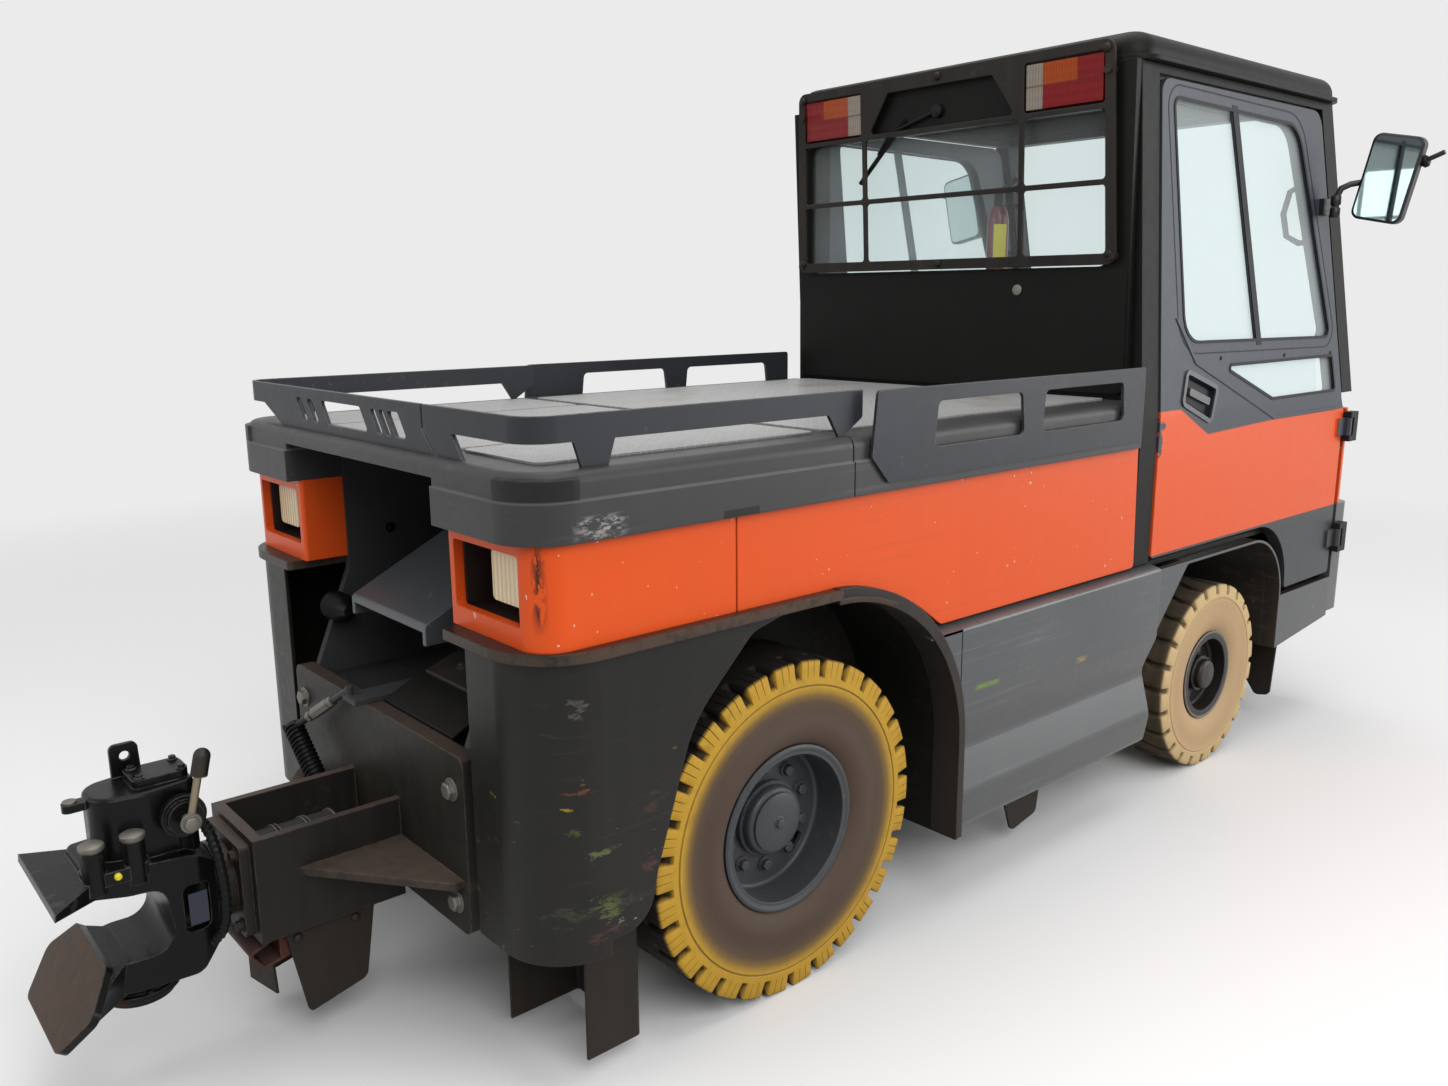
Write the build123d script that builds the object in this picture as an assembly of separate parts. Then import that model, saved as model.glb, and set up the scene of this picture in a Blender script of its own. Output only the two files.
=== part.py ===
"""Electric airport tow tractor with a rear cargo deck, a two-door cab and an automatic tow coupling.

Millimetres. X runs forward, Y to the left, Z up, the ground is Z = 0. Lengths along X are written
as stations from the rear faces of the two lamp towers; at export the whole part is moved so that
the origin lies below the middle of its length.
"""
import math
import os

from build123d import *

# Body widths, from the middle plane
BODY_HALF = 650.0  # outer face of the painted side panels
PANEL_T = 20.0  # thickness of the painted panels
PLATE_T = 8.0  # thickness of bent sheet parts
TOWER_IN = BODY_HALF - 305.0  # inner side of each lamp tower
FENDER_HALF = BODY_HALF + 12.0
LEDGE_HALF = BODY_HALF + 25.0
SKIRT_HALF = BODY_HALF + 15.0  # deck covers
TROUGH_HALF = BODY_HALF - 60.0  # battery trough
CAB_IN = BODY_HALF - 60.0  # inner side of the cab pillars

# Wheels
REAR_X, REAR_R, REAR_W = 623.0, 370.0, 228.0
WHEELBASE, FRONT_R, FRONT_W = 1855.0, 294.0, 164.0
FRONT_X = REAR_X + WHEELBASE
REAR_Y = BODY_HALF - 21.0 - REAR_W / 2
FRONT_Y = BODY_HALF - 39.0 - FRONT_W / 2
KING_IN = 115.0  # kingpin axis, inwards from the middle of the front wheel
KING_Y = FRONT_Y - KING_IN
FIT = 0.05  # radial clearance of running fits
AXIAL = 1.0  # axial play at bearings

# Heights, each from the one before
ARCH_ROOM = 130.0  # from the rear tyre up to the ledge
LEDGE_T = 20.0
LEDGE_TOP = 2 * REAR_R + ARCH_ROOM + LEDGE_T  # the corner panels stand on the ledge
PANEL_TOP = LEDGE_TOP + 188.0  # top of the painted panels, bottom of the deck covers
DECK_TOP = PANEL_TOP + 122.0
SILL_TOP = LEDGE_TOP - 145.0
CAB_FLOOR = SILL_TOP - 15.0
FLOOR_T = 15.0
FA_TOP = CAB_FLOOR - FLOOR_T  # front wheel arch
STEP_FLOOR = CAB_FLOOR - 215.0
STEP_LOW = STEP_FLOOR - FLOOR_T
BELT_Z = DECK_TOP - 50.0  # the cab sides lean inwards above this height
WIND_Z = BELT_Z - 60.0  # lower edge of the windscreen
ROOF_Z = BELT_Z + 905.0
ROOF_TOP = ROOF_Z + 75.0
HEADER_T = 24.0
HEAD_Z = ROOF_Z - HEADER_T

# Stations that follow the axles
SEAM = 4.0
SEAM_X = REAR_X - 184.0  # joint between corner panel and long side panel
ARCH_X, ARCH_R, ARCH_T = REAR_X + 82.0, 405.0, 12.0
ARCH_Z = LEDGE_TOP - LEDGE_T - ARCH_R - 10.0
LEDGE_REAR, FENDER_REAR = -35.0, -22.0
FENDER_LOW = LEDGE_TOP - 590.0
CAB_REAR = FRONT_X - 612.0
SILL_FRONT = FRONT_X - 478.0
FA_FRONT, FA_R = FRONT_X + 362.0, 220.0
NOSE_X = FRONT_X + 867.0  # front face of the front bumper
NOSE_FACE = NOSE_X - 55.0  # front face of the painted nose panel
NOSE_REAR = NOSE_X - 119.0  # rear edge of the front corner panels
BUMPER_T = PANEL_T + 15.0
A_FOOT, A_HEAD, A_W = NOSE_X - 180.0, NOSE_X - 443.0, 78.0  # windscreen pillars
HINGE_X, HINGE_Y = NOSE_X - 131.0, BODY_HALF + 14.0
PIN_R, SLEEVE_R = 7.0, 12.0

# Chassis
FRAME_T = 20.0  # rear frame plates
FRAME_OUT = TOWER_IN + FRAME_T
RAIL_OUT = KING_Y - 174.0
RAIL_IN = RAIL_OUT - 70.0
RAIL_Z = FA_TOP - 255.0  # lower edge of the front rails
TROUGH_Z = 230.0
WALL_T = 12.0
TROUGH_REAR, TROUGH_FRONT = ARCH_X + ARCH_R + ARCH_T, CAB_REAR - 1
SLAB_Z = DECK_TOP - 35.0  # underside of the deck covers' slabs

# Cab
CAB_WALL_T = 24.0
CAB_LEAN = 0.05  # the rear wall's shift to the rear per unit of height above the belt
TILT = math.atan(CAB_LEAN)
TUMBLE = 2.4  # degrees
DOOR_T = 40.0
DOOR_IN = BODY_HALF - DOOR_T
GAP = 7.0  # gap around the doors
PILLAR_X, B_W = CAB_REAR + CAB_WALL_T, 85.0
GLASS_T = 6.0
WALL_TOP = DECK_TOP + 350.0  # lower edge of the rear window
WINDOW_H = 395.0

# Tow coupling
TOW_Z = 360.0
BOX_LEN, BOX_HALF, BOX_UP, BOX_DOWN, BOX_T = 325.0, 118.0, 110.0, 105.0, 18.0
BOX_REAR = -BOX_LEN
FLANGE_T, COLLAR_T = 20.0, 20.0
SHAFT_R = 30.0
HEAD_FRONT = BOX_REAR - FLANGE_T - COLLAR_T - AXIAL
HEAD_LEN = 324.0  # to the rear edge of the lower lip
JAW_X = HEAD_FRONT - HEAD_LEN
X_MID = (NOSE_X + JAW_X) / 2


def outline(corners):
    """Face from corners (u, v, radius), with tangent arcs at the rounded ones."""
    edges, ends = [], []
    n = len(corners)
    for i, (u, v, r) in enumerate(corners):
        p = Vector(u, v)
        a = (Vector(*corners[i - 1][:2]) - p).normalized()
        b = (Vector(*corners[(i + 1) % n][:2]) - p).normalized()
        if r <= 0:
            ends.append((p, p))
            continue
        half = math.acos(max(-1.0, min(1.0, a.dot(b)))) / 2
        cut = r / math.tan(half)
        mid = p + (a + b).normalized() * (r / math.sin(half) - r)
        ends.append((p + a * cut, p + b * cut))
        edges.append(ThreePointArc(ends[-1][0], mid, ends[-1][1]))
    for i in range(n):
        start, end = ends[i][1], ends[(i + 1) % n][0]
        if (end - start).length > 1e-4:
            edges.append(Line(start, end))
    return make_face(edges)


def slab(u0, u1, v0, v1, r):
    """Face of a rectangle with four rounded corners."""
    return outline([(u0, v0, r), (u1, v0, r), (u1, v1, r), (u0, v1, r)])


def strip(path, t):
    """Corners of a bent plate: the path and its parallel at distance t to the left."""
    pts = [Vector(u, v) for u, v, _ in path]
    dirs = [(pts[i + 1] - pts[i]).normalized() for i in range(len(pts) - 1)]
    side = []
    for i, (u, v, r) in enumerate(path):
        d0, d1 = dirs[max(i - 1, 0)], dirs[min(i, len(dirs) - 1)]
        n0, n1 = Vector(-d0.Y, d0.X), Vector(-d1.Y, d1.X)
        shift = (n0 + n1) * (t / (1 + n0.dot(n1)))
        turn = d0.X * d1.Y - d0.Y * d1.X
        side.append((u + shift.X, v + shift.Y, r - t * math.copysign(1, turn) if r > 0 else 0))
    return list(path) + side[::-1]


def along_y(face, y0, y1):
    """Prism of a face drawn in X and Z, between two values of Y."""
    return extrude(Plane(origin=(0, y1, 0), x_dir=(1, 0, 0), z_dir=(0, -1, 0)) * face, y1 - y0)


def along_x(face, x0, x1):
    """Prism of a face drawn in Y and Z, between two values of X."""
    return extrude(Plane(origin=(x0, 0, 0), x_dir=(0, 1, 0), z_dir=(1, 0, 0)) * face, x1 - x0)


def along_z(face, z0, z1):
    """Prism of a face drawn in X and Y, between two heights."""
    return extrude(Plane(origin=(0, 0, z0)) * face, z1 - z0)


def box(x0, x1, y0, y1, z0, z1):
    return Pos((x0 + x1) / 2, (y0 + y1) / 2, (z0 + z1) / 2) * Box(x1 - x0, y1 - y0, z1 - z0)


def rod(a, b, r):
    """Round bar between two points."""
    a, b = Vector(*a), Vector(*b)
    return extrude(Plane(origin=a, z_dir=(b - a).normalized()) * Circle(r), (b - a).length)


def turned(profile, x, y, z, side=1):
    """Body of revolution about a Y axis from corners (radius, offset outwards, rounding)."""
    face = Plane(origin=(x, y, z), x_dir=(0, 0, 1), z_dir=(-side, 0, 0)) * outline(profile)
    return revolve(face, Axis((x, y, z), (0, 1, 0)))


def flip(shape):
    """The same piece on the other side of the middle plane."""
    return mirror(shape, about=Plane.XZ)


def both(shape):
    """A left-hand piece with its right-hand twin."""
    return [shape, flip(shape)]


def lean(z):
    """Station of the cab's rear face at a height."""
    return CAB_REAR - CAB_LEAN * max(z - BELT_Z, 0.0)


def tumble(shape):
    """Lean of a left-hand cab piece about the belt line."""
    return shape.rotate(Axis((0, BODY_HALF, BELT_Z), (1, 0, 0)), TUMBLE)


NODES = {}


def keep(node, *shapes):
    """Store one piece, or several that do not touch, as a node at its final place."""
    flat = []
    for s in shapes:
        flat.extend(s if isinstance(s, list) else [s])
    solids = [b for s in flat for b in (Pos(-X_MID, 0, 0) * s).solids()]
    NODES[node] = solids[0] if len(solids) == 1 else Compound(children=solids)


# Chassis frame: rear frame plates, battery trough, front rails and cross pieces
AXLE_SLOT, SLOT_TOP = 95.0, REAR_R + 85.0
frame_plate = along_y(
    outline([
        (10, REAR_R - 80, 30), (REAR_X - AXLE_SLOT, REAR_R - 80, 10), (REAR_X - AXLE_SLOT, SLOT_TOP, 30),
        (REAR_X + AXLE_SLOT, SLOT_TOP, 30), (REAR_X + AXLE_SLOT, REAR_R - 80, 10), (TROUGH_REAR, TROUGH_Z, 0),
        (TROUGH_REAR, SLAB_Z, 0), (100, SLAB_Z, 20), (100, LEDGE_TOP - 30, 40), (10, LEDGE_TOP - 250, 30),
    ]),
    TOWER_IN, FRAME_OUT,
)
TROUGH_TOP = SILL_TOP - 45.0
trough = box(TROUGH_REAR, TROUGH_FRONT, -TROUGH_HALF, TROUGH_HALF, TROUGH_Z, TROUGH_TOP)
trough -= box(TROUGH_REAR + WALL_T, TROUGH_FRONT - WALL_T, -TROUGH_HALF + WALL_T, TROUGH_HALF - WALL_T,
              TROUGH_Z + WALL_T, TROUGH_TOP + 1)
for x in (TROUGH_REAR, TROUGH_FRONT - WALL_T):
    trough += box(x, x + WALL_T, -TROUGH_HALF, TROUGH_HALF, TROUGH_TOP - 1, SLAB_Z)
rail = along_y(
    outline([
        (TROUGH_FRONT, RAIL_Z, 0), (FA_FRONT - 88, RAIL_Z, 40), (FA_FRONT + 12, RAIL_Z - 100, 40),
        (NOSE_FACE, RAIL_Z - 100, 20), (NOSE_FACE, STEP_LOW, 0), (FA_FRONT + 22, STEP_LOW, 0),
        (FA_FRONT + 22, FA_TOP, 0), (TROUGH_FRONT, FA_TOP, 0),
    ]),
    RAIL_IN, RAIL_OUT,
)
frame = trough
for piece in both(frame_plate) + both(rail):
    frame += piece
CROSS = (
    ("x", "thickness", "half width", "z0", "z1"),
    (380.0, 16.0, TOWER_IN, LEDGE_TOP - 190, LEDGE_TOP + 10),
    (REAR_X + 277, 16.0, TOWER_IN, REAR_R + 130, REAR_R + 270),
    (SILL_FRONT + 100, 40.0, RAIL_IN, RAIL_Z + 20, RAIL_Z + 160),
    (NOSE_FACE - 50, 40.0, RAIL_IN, RAIL_Z - 90, STEP_LOW - 10),
)
for x, t, half, z0, z1 in CROSS[1:]:
    frame += box(x, x + t, -half, half, z0, z1)
keep("chassis_frame", frame)

BATTERY_GAP, BATTERY_SIDE = 18.0, 75.0
keep("battery_block", box(TROUGH_REAR + WALL_T + BATTERY_GAP, TROUGH_FRONT - WALL_T - BATTERY_GAP,
                          -TROUGH_HALF + BATTERY_SIDE, TROUGH_HALF - BATTERY_SIDE,
                          TROUGH_Z + WALL_T, PANEL_TOP - 38))

# Tow frame: rear cross plate, open tow box with its gussets, end flange and swivel shaft
PLATE_BACK, PLATE_FRONT, PLATE_HALF = -25.0, 10.0, FRAME_OUT + 35.0
PLATE_Z0, PLATE_Z1 = TOW_Z - 85.0, LEDGE_TOP - 250.0
BOX_Z0, BOX_Z1 = TOW_Z - BOX_DOWN, TOW_Z + BOX_UP
tow = along_x(slab(-PLATE_HALF, PLATE_HALF, PLATE_Z0, PLATE_Z1, 24), PLATE_BACK, PLATE_FRONT)
tow += box(BOX_REAR, PLATE_BACK, -BOX_HALF, BOX_HALF, BOX_Z0, BOX_Z1)
tow -= box(BOX_REAR + 22, PLATE_BACK, -BOX_HALF + BOX_T, BOX_HALF - BOX_T, BOX_Z0 + 16, BOX_Z1 + 1)
gusset = along_z(outline([(PLATE_BACK + 1, BOX_HALF - 2, 0), (PLATE_BACK + 1, PLATE_HALF - 20, 0),
                          (PLATE_BACK - 20, PLATE_HALF - 20, 8), (BOX_REAR + 85, BOX_HALF - 2, 0)]),
                 TOW_Z + 12, TOW_Z + 28)
for piece in both(gusset):
    tow += piece
FLANGE_HALF = 95.0
tow += along_x(slab(-FLANGE_HALF, FLANGE_HALF, TOW_Z - FLANGE_HALF, TOW_Z + FLANGE_HALF, 12),
               BOX_REAR - FLANGE_T, BOX_REAR)
tow += rod((BOX_REAR - FLANGE_T, 0, TOW_Z), (BOX_REAR - FLANGE_T - COLLAR_T, 0, TOW_Z), 74)
tow += rod((BOX_REAR - FLANGE_T, 0, TOW_Z), (HEAD_FRONT - 44, 0, TOW_Z), SHAFT_R)
# folded bracket below the box, where the cable leaves
bracket = along_y(outline(strip([(BOX_REAR + 60, BOX_Z0, 0), (BOX_REAR - 15, BOX_Z0 - 30, 6),
                                 (BOX_REAR + 10, BOX_Z0 - 62, 6), (BOX_REAR + 70, BOX_Z0 - 48, 0)], -5)),
                  -95, 95)
tow += bracket
tow += box(BOX_REAR + 40, BOX_REAR + 70, -95, 95, BOX_Z0 - 53, BOX_Z0 + 1)
keep("tow_frame", tow)
BUFFER_R = 70.0
buffer = rod((BOX_REAR + 22, 0, TOW_Z), (PLATE_BACK, 0, TOW_Z), 26)
for x in (30.0, 90.0, 150.0):
    buffer += rod((BOX_REAR + x, 0, TOW_Z), (BOX_REAR + x + 50, 0, TOW_Z), BUFFER_R)
keep("tow_buffer", buffer)


# Coupling head: turns about its shaft in the tow box. Its outlines run to the rear from the swivel face.
def head_plan(corners, v0, v1):
    """Prism of corners (to the rear, across, radius) between two heights from the swivel axis."""
    return along_z(outline([(HEAD_FRONT - u, y, r) for u, y, r in corners]), TOW_Z + v0, TOW_Z + v1)


def at(u, y, v):
    """Point on the coupling: to the rear of the swivel face, across, above the swivel axis."""
    return (HEAD_FRONT - u, y, TOW_Z + v)


JAW_HALF = 92.0
NECK_R, RING_R = 74.0, 81.0
side_view = outline([(HEAD_FRONT - u, TOW_Z + v, r) for u, v, r in (
    (20, -84, 10), (20, 84, 14), (64, 110, 30), (232, 124, 12), (249, 72, 8), (112, 60, 34), (100, -66, 40),
    (234, -64, 8), (219, -124, 14), (64, -132, 30),
)])
head = along_y(side_view, -JAW_HALF, JAW_HALF)
head &= head_plan([(19, -78, 0), (19, 78, 0), (54, JAW_HALF, 20), (174, JAW_HALF, 60), (274, 60, 50),
                   (274, -60, 50), (174, -JAW_HALF, 60), (54, -JAW_HALF, 20)], -210, 340)
# side windows lighten the back of the jaw
side_hole = [(HEAD_FRONT - u, TOW_Z + v, 14) for u, v in ((36, -44), (36, 50), (84, 50), (84, -44))]
for y in (-JAW_HALF - 1, JAW_HALF - 21):
    head -= along_y(outline(side_hole), y, y + 22)
head += rod(at(0, 0, 0), at(12, 0, 0), RING_R)
head += rod(at(11, 0, 0), at(30, 0, 0), NECK_R)
# upright pin housing, wide towards the front and round towards the rear, with a stepped lid
housing = head_plan([(29, -52, 22), (29, 52, 22), (124, 66, 50), (209, 50, 46), (209, -50, 46),
                     (124, -66, 50)],
                    100, 242)
head += fillet(housing.edges().group_by(Axis.Z)[-1], 9)
head += head_plan([(134, -40, 12), (134, 40, 12), (34, 40, 20), (34, -40, 20)], 230, 258)
head += head_plan([(66, -60, 6), (120, -60, 6), (120, 20, 6), (66, 20, 6)], 100, 206)
ear = head_plan([(200, -13, 6), (200, 13, 6), (246, 13, 12), (246, -13, 12)], 218, 234)
head += ear - rod(at(232, 0, 210), at(232, 0, 240), 6)
# drum of the lower pin guide with its flange
head += rod(at(154, 0, -120), at(154, 0, -174), 62)
head += rod(at(154, 0, -150), at(154, 0, -162), 72)
# posts beside the pin housing, on a common foot
for u in (222.0, 154.0):
    head += rod(at(u, -80, 84), at(u, -80, 168), 19)
head += head_plan([(130, -94, 12), (240, -94, 18), (240, -40, 10), (130, -40, 0)], 96, 122)
# boss of the hand lever with its collar
head += rod(at(64, -96, 185), at(64, 0, 185), 32)
head += rod(at(64, -84, 185), at(64, -70, 185), 40)
# plate with an eye for the release cable
cable_plate = along_y(outline([(HEAD_FRONT - u, TOW_Z + v, r) for u, v, r in (
    (96, 200, 0), (150, 200, 0), (150, 306, 12), (100, 306, 12))]), 44, 52)
head += cable_plate - rod(at(124, 40, 282), at(124, 60, 282), 9)
head -= rod((HEAD_FRONT + 1, 0, TOW_Z), (HEAD_FRONT - 46, 0, TOW_Z), SHAFT_R + FIT)
# flared lips that catch the draw-bar eye
LIP_DIR = (-1, 0, 0.12)
upper_lip = loft([
    Plane(origin=at(214, 0, 92), z_dir=LIP_DIR, x_dir=(0, 1, 0)) * Rectangle(150, 40),
    Plane(origin=at(302, 0, 94), z_dir=LIP_DIR, x_dir=(0, 1, 0)) * Rectangle(300, 14),
])
LIP_TILT = 38.0  # degrees from upright
LIP_LOW = 95.0  # from the middle of the lower lip to its lower edge
LIP_T = 16.0
LIP_SIN, LIP_COS = math.sin(math.radians(LIP_TILT)), math.cos(math.radians(LIP_TILT))
lip_face = outline([(-105, 62, 14), (105, 62, 14), (165, -10, 24), (120, -LIP_LOW, 24), (-120, -LIP_LOW, 24),
                    (-165, -10, 24)])
lip_plane = Plane(origin=at(HEAD_LEN - LIP_LOW * LIP_SIN, 0, -98), x_dir=(0, -1, 0),
                  z_dir=(-LIP_COS, 0, LIP_SIN))
head += upper_lip
head += extrude(lip_plane * lip_face, -LIP_T)
head += loft([
    lip_plane.offset(-LIP_T + 1) * Pos(0, -8) * Rectangle(250, 120),
    Plane(origin=at(180, 0, -94), z_dir=(-1, 0, 0), x_dir=(0, 1, 0)) * Rectangle(150, 62),
])
keep("coupling_head", head)
lever = rod(at(64, -96, 185), at(64, -122, 185), 9)
lever += rod(at(64, -115, 180), at(42, -122, 278), 7)
lever += rod(at(42, -122, 272), at(34, -124, 308), 15)
lever += Pos(*at(34, -124, 308)) * Sphere(15)
keep("coupling_lever", lever)

# Rear fenders: ledge plate, rounded skin, arch plate
ledge_plan = outline([(LEDGE_REAR, FRAME_OUT, 12), (LEDGE_REAR, LEDGE_HALF, 145), (ARCH_X + 5, LEDGE_HALF, 0),
                      (ARCH_X + 5, FRAME_OUT, 0)])
fender = along_z(ledge_plan, LEDGE_TOP - LEDGE_T, LEDGE_TOP)
SKIN_FRONT = ARCH_X - 145.0
skin_path = [(FENDER_REAR, TOWER_IN + 85, 0), (FENDER_REAR, FENDER_HALF, 135), (SKIN_FRONT, FENDER_HALF, 0)]
skin = along_z(outline(strip(skin_path, -PLATE_T)), FENDER_LOW, LEDGE_TOP - LEDGE_T + 1)
arch_cut = outline([
    (SKIN_FRONT + 1, 0, 0), (SKIN_FRONT + 1, LEDGE_TOP - 22, 0), (SKIN_FRONT - 90, LEDGE_TOP - 44, 60),
    (SKIN_FRONT - 242, LEDGE_TOP - 190, 260), (SKIN_FRONT - 332, LEDGE_TOP - 460, 60),
    (SKIN_FRONT - 355, LEDGE_TOP - 560, 70), (SKIN_FRONT - 440, LEDGE_TOP - 560, 0), (SKIN_FRONT - 450, 0, 0),
])
skin -= along_y(arch_cut, BODY_HALF - 150, BODY_HALF + 50)
fender += skin
arch_path = [(ARCH_X - 5, ARCH_Z + ARCH_R, 0), (ARCH_X + ARCH_R, ARCH_Z + ARCH_R, ARCH_R),
             (ARCH_X + ARCH_R, 206, 0)]
fender += along_y(outline(strip(arch_path, ARCH_T)), FRAME_OUT, LEDGE_HALF)
keep("rear_fenders", both(fender))

# Painted corner panels with the lamp recesses
LAMP_IN, LAMP_OUT, LAMP_Z0, LAMP_Z1 = TOWER_IN + 22, BODY_HALF - 62, LEDGE_TOP + 38, PANEL_TOP - 24
TRAY_X, TRAY_T = 90.0, 6.0
corner_path = [(100, TOWER_IN, 0), (0, TOWER_IN, 8), (0, BODY_HALF, 60), (SEAM_X - SEAM / 2, BODY_HALF, 0)]
corner = along_z(outline(strip(corner_path, -PANEL_T)), LEDGE_TOP, PANEL_TOP)
corner -= along_x(slab(LAMP_IN, LAMP_OUT, LAMP_Z0, LAMP_Z1, 8), -10, PANEL_T + 1)
keep("corner_panels", both(corner))
tray = box(PANEL_T, TRAY_X, LAMP_IN, LAMP_OUT, LAMP_Z0 - 10, LAMP_Z1 + 10)
tray -= box(PANEL_T - 1, TRAY_X - TRAY_T, LAMP_IN + TRAY_T, LAMP_OUT - TRAY_T, LAMP_Z0 - 4, LAMP_Z1 + 4)
keep("lamp_trays", both(tray))
lens = along_x(slab(LAMP_IN + 83, LAMP_OUT - 28, LAMP_Z0 + 22, LAMP_Z1 - 10, 10), 30, TRAY_X - TRAY_T)
keep("reversing_lamps", both(lens))

# Long painted side panels above arch and sill
panel = along_y(
    outline([
        (SEAM_X + SEAM / 2, LEDGE_TOP, 0), (ARCH_X + 5, LEDGE_TOP, 0),
        (ARCH_X + ARCH_R * 0.62, ARCH_Z + ARCH_R * 0.9, 260), (ARCH_X + ARCH_R * 0.88, SILL_TOP, 20),
        (CAB_REAR + 24, SILL_TOP, 12), (CAB_REAR + 10, PANEL_TOP, 0), (SEAM_X + SEAM / 2, PANEL_TOP, 0),
    ]),
    BODY_HALF - PANEL_T, BODY_HALF,
)
panel -= along_y(Pos(ARCH_X, ARCH_Z) * Circle(ARCH_R + ARCH_T), BODY_HALF - 150, BODY_HALF + 150)
keep("side_panels", both(panel))

# Sills with the S-shaped section: corners from the body side, from the sill's top and rounding
SILL_OUT = ((-38, 0, 0), (24, -17, 8), (24, -215, 40), (-16, -320, 60), (18, -445, 70), (2, -540, 30),
            (-40, -540, 0))
SILL_IN = ((-40, -530, 0), (-8, -530, 22), (6, -447, 60), (-28, -320, 70), (14, -213, 30), (14, -23, 4),
           (-38, -12, 0))
sill = along_x(outline([(BODY_HALF + y, SILL_TOP + z, r) for y, z, r in SILL_OUT + SILL_IN]),
               ARCH_X + ARCH_R, SILL_FRONT)
sill -= along_y(Pos(ARCH_X, ARCH_Z) * Circle(ARCH_R + ARCH_T), BODY_HALF - 150, BODY_HALF + 150)
sill -= box(ARCH_X, ARCH_X + ARCH_R + ARCH_T, BODY_HALF - 150, BODY_HALF + 150, SILL_TOP - 545, ARCH_Z)
keep("sills", both(sill))

# Deck covers with rounded upper edges, corner buffers on the rear one
SKIRT_T, STEP_Z = 22.0, PANEL_TOP + 72.0
COVER_IN, COVER_R = 5.0, 100.0
COVER_REAR, COVER_SEAM = -30.0, REAR_X + 124.0


def cover(x0, x1, r):
    """Slab with a skirt on both sides, its rear corners rounded by r."""
    def plan(inset):
        return outline([(x0 + (inset if r else 0), -SKIRT_HALF + inset, r), (x1, -SKIRT_HALF + inset, 0),
                        (x1, SKIRT_HALF - inset, 0), (x0 + (inset if r else 0), SKIRT_HALF - inset, r)])
    top = along_z(plan(COVER_IN), STEP_Z, DECK_TOP)
    edge = [e for e in top.edges().group_by(Axis.Z)[-1]
            if abs(e.center().X - x1) > 1 and (r or abs(e.center().X - x0) > 1)]
    top = fillet(edge, 22)
    buffers = along_z(plan(0), STEP_Z - 1, DECK_TOP - 12)
    corners = box(x0 - 1, x0 + COVER_R + 10, SKIRT_HALF - COVER_R, SKIRT_HALF + 1, STEP_Z - 2, DECK_TOP)
    whole = top + along_z(plan(0), PANEL_TOP, STEP_Z)
    return whole + (buffers & corners) + (buffers & flip(corners)) if r else whole


rear_cover = cover(COVER_REAR, COVER_SEAM, COVER_R)
hollow = outline([(COVER_REAR + SKIRT_T, -SKIRT_HALF + SKIRT_T, COVER_R - SKIRT_T),
                  (COVER_SEAM + 1, -SKIRT_HALF + SKIRT_T, 0), (COVER_SEAM + 1, SKIRT_HALF - SKIRT_T, 0),
                  (COVER_REAR + SKIRT_T, SKIRT_HALF - SKIRT_T, COVER_R - SKIRT_T)])
rear_cover -= along_z(hollow, PANEL_TOP - 1, SLAB_Z)
rear_cover -= box(COVER_REAR - 1, 120, -TOWER_IN, TOWER_IN, PANEL_TOP - 1, SLAB_Z)
for y in (TOWER_IN, -FRAME_OUT):
    rear_cover += box(COVER_REAR + SKIRT_T - 1, 99, y, y + FRAME_T, PANEL_TOP, SLAB_Z + 1)
keep("deck_cover_rear", rear_cover)
front_cover = cover(COVER_SEAM + SEAM, CAB_REAR - SEAM, 0.0)
front_cover -= box(COVER_SEAM, CAB_REAR, -SKIRT_HALF + SKIRT_T, SKIRT_HALF - SKIRT_T, PANEL_TOP - 1, SLAB_Z)
keep("deck_cover_front", front_cover)
TREAD_T, TREAD_HALF = 5.0, SKIRT_HALF - 97.0
TREADS = (
    ("x0", "x1", "y0", "y1"),
    (60.0, COVER_SEAM - 12, TOWER_IN - 45, TREAD_HALF), (60.0, COVER_SEAM - 12, -TREAD_HALF, 45 - TOWER_IN),
    (20.0, COVER_SEAM - 12, 57 - TOWER_IN, TOWER_IN - 57),
    (COVER_SEAM + 18, CAB_REAR - 26, -TREAD_HALF, TREAD_HALF),
)
treads = [along_z(slab(x0, x1, y0, y1, 25), DECK_TOP, DECK_TOP + TREAD_T) for x0, x1, y0, y1 in TREADS[1:]]
keep("tread_plates", treads)

# Rails around the rear of the deck: the left one carries the slotted plate between the towers
RAIL_TOP, RAIL_H, RAIL_T = DECK_TOP + 91.0, 46.0, 8.0
RAIL_Y, RAIL_X, RAIL_END = BODY_HALF - 14.0, -2.0, COVER_SEAM + 53.0
RAIL_LOW, RAIL_GAP = RAIL_TOP - RAIL_H, -270.0  # the gap between both rails is on the right
side_path = [(RAIL_X, RAIL_GAP, 0), (RAIL_X, RAIL_Y, 60), (RAIL_END, RAIL_Y, 0)]
left_rail = along_z(outline(strip(side_path, -RAIL_T)), RAIL_LOW, RAIL_TOP)
near_path = [(RAIL_X, -RAIL_GAP + 10, 0), (RAIL_X, RAIL_Y, 60), (RAIL_END, RAIL_Y, 0)]
right_rail = along_z(outline(strip(near_path, -RAIL_T)), RAIL_LOW, RAIL_TOP)
foot = along_y(outline([(RAIL_END - 100, RAIL_LOW + 1, 0), (RAIL_END - 70, DECK_TOP, 0),
                        (RAIL_END - 58, DECK_TOP, 0),
                        (RAIL_END, RAIL_LOW - 10, 10), (RAIL_END, RAIL_LOW + 1, 0)]), RAIL_Y - RAIL_T, RAIL_Y)
corner_foot = along_y(outline([(90, RAIL_LOW + 1, 0), (105, DECK_TOP, 0), (160, DECK_TOP, 0),
                               (175, RAIL_LOW + 1, 0)]),
                      RAIL_Y - RAIL_T, RAIL_Y)
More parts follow.
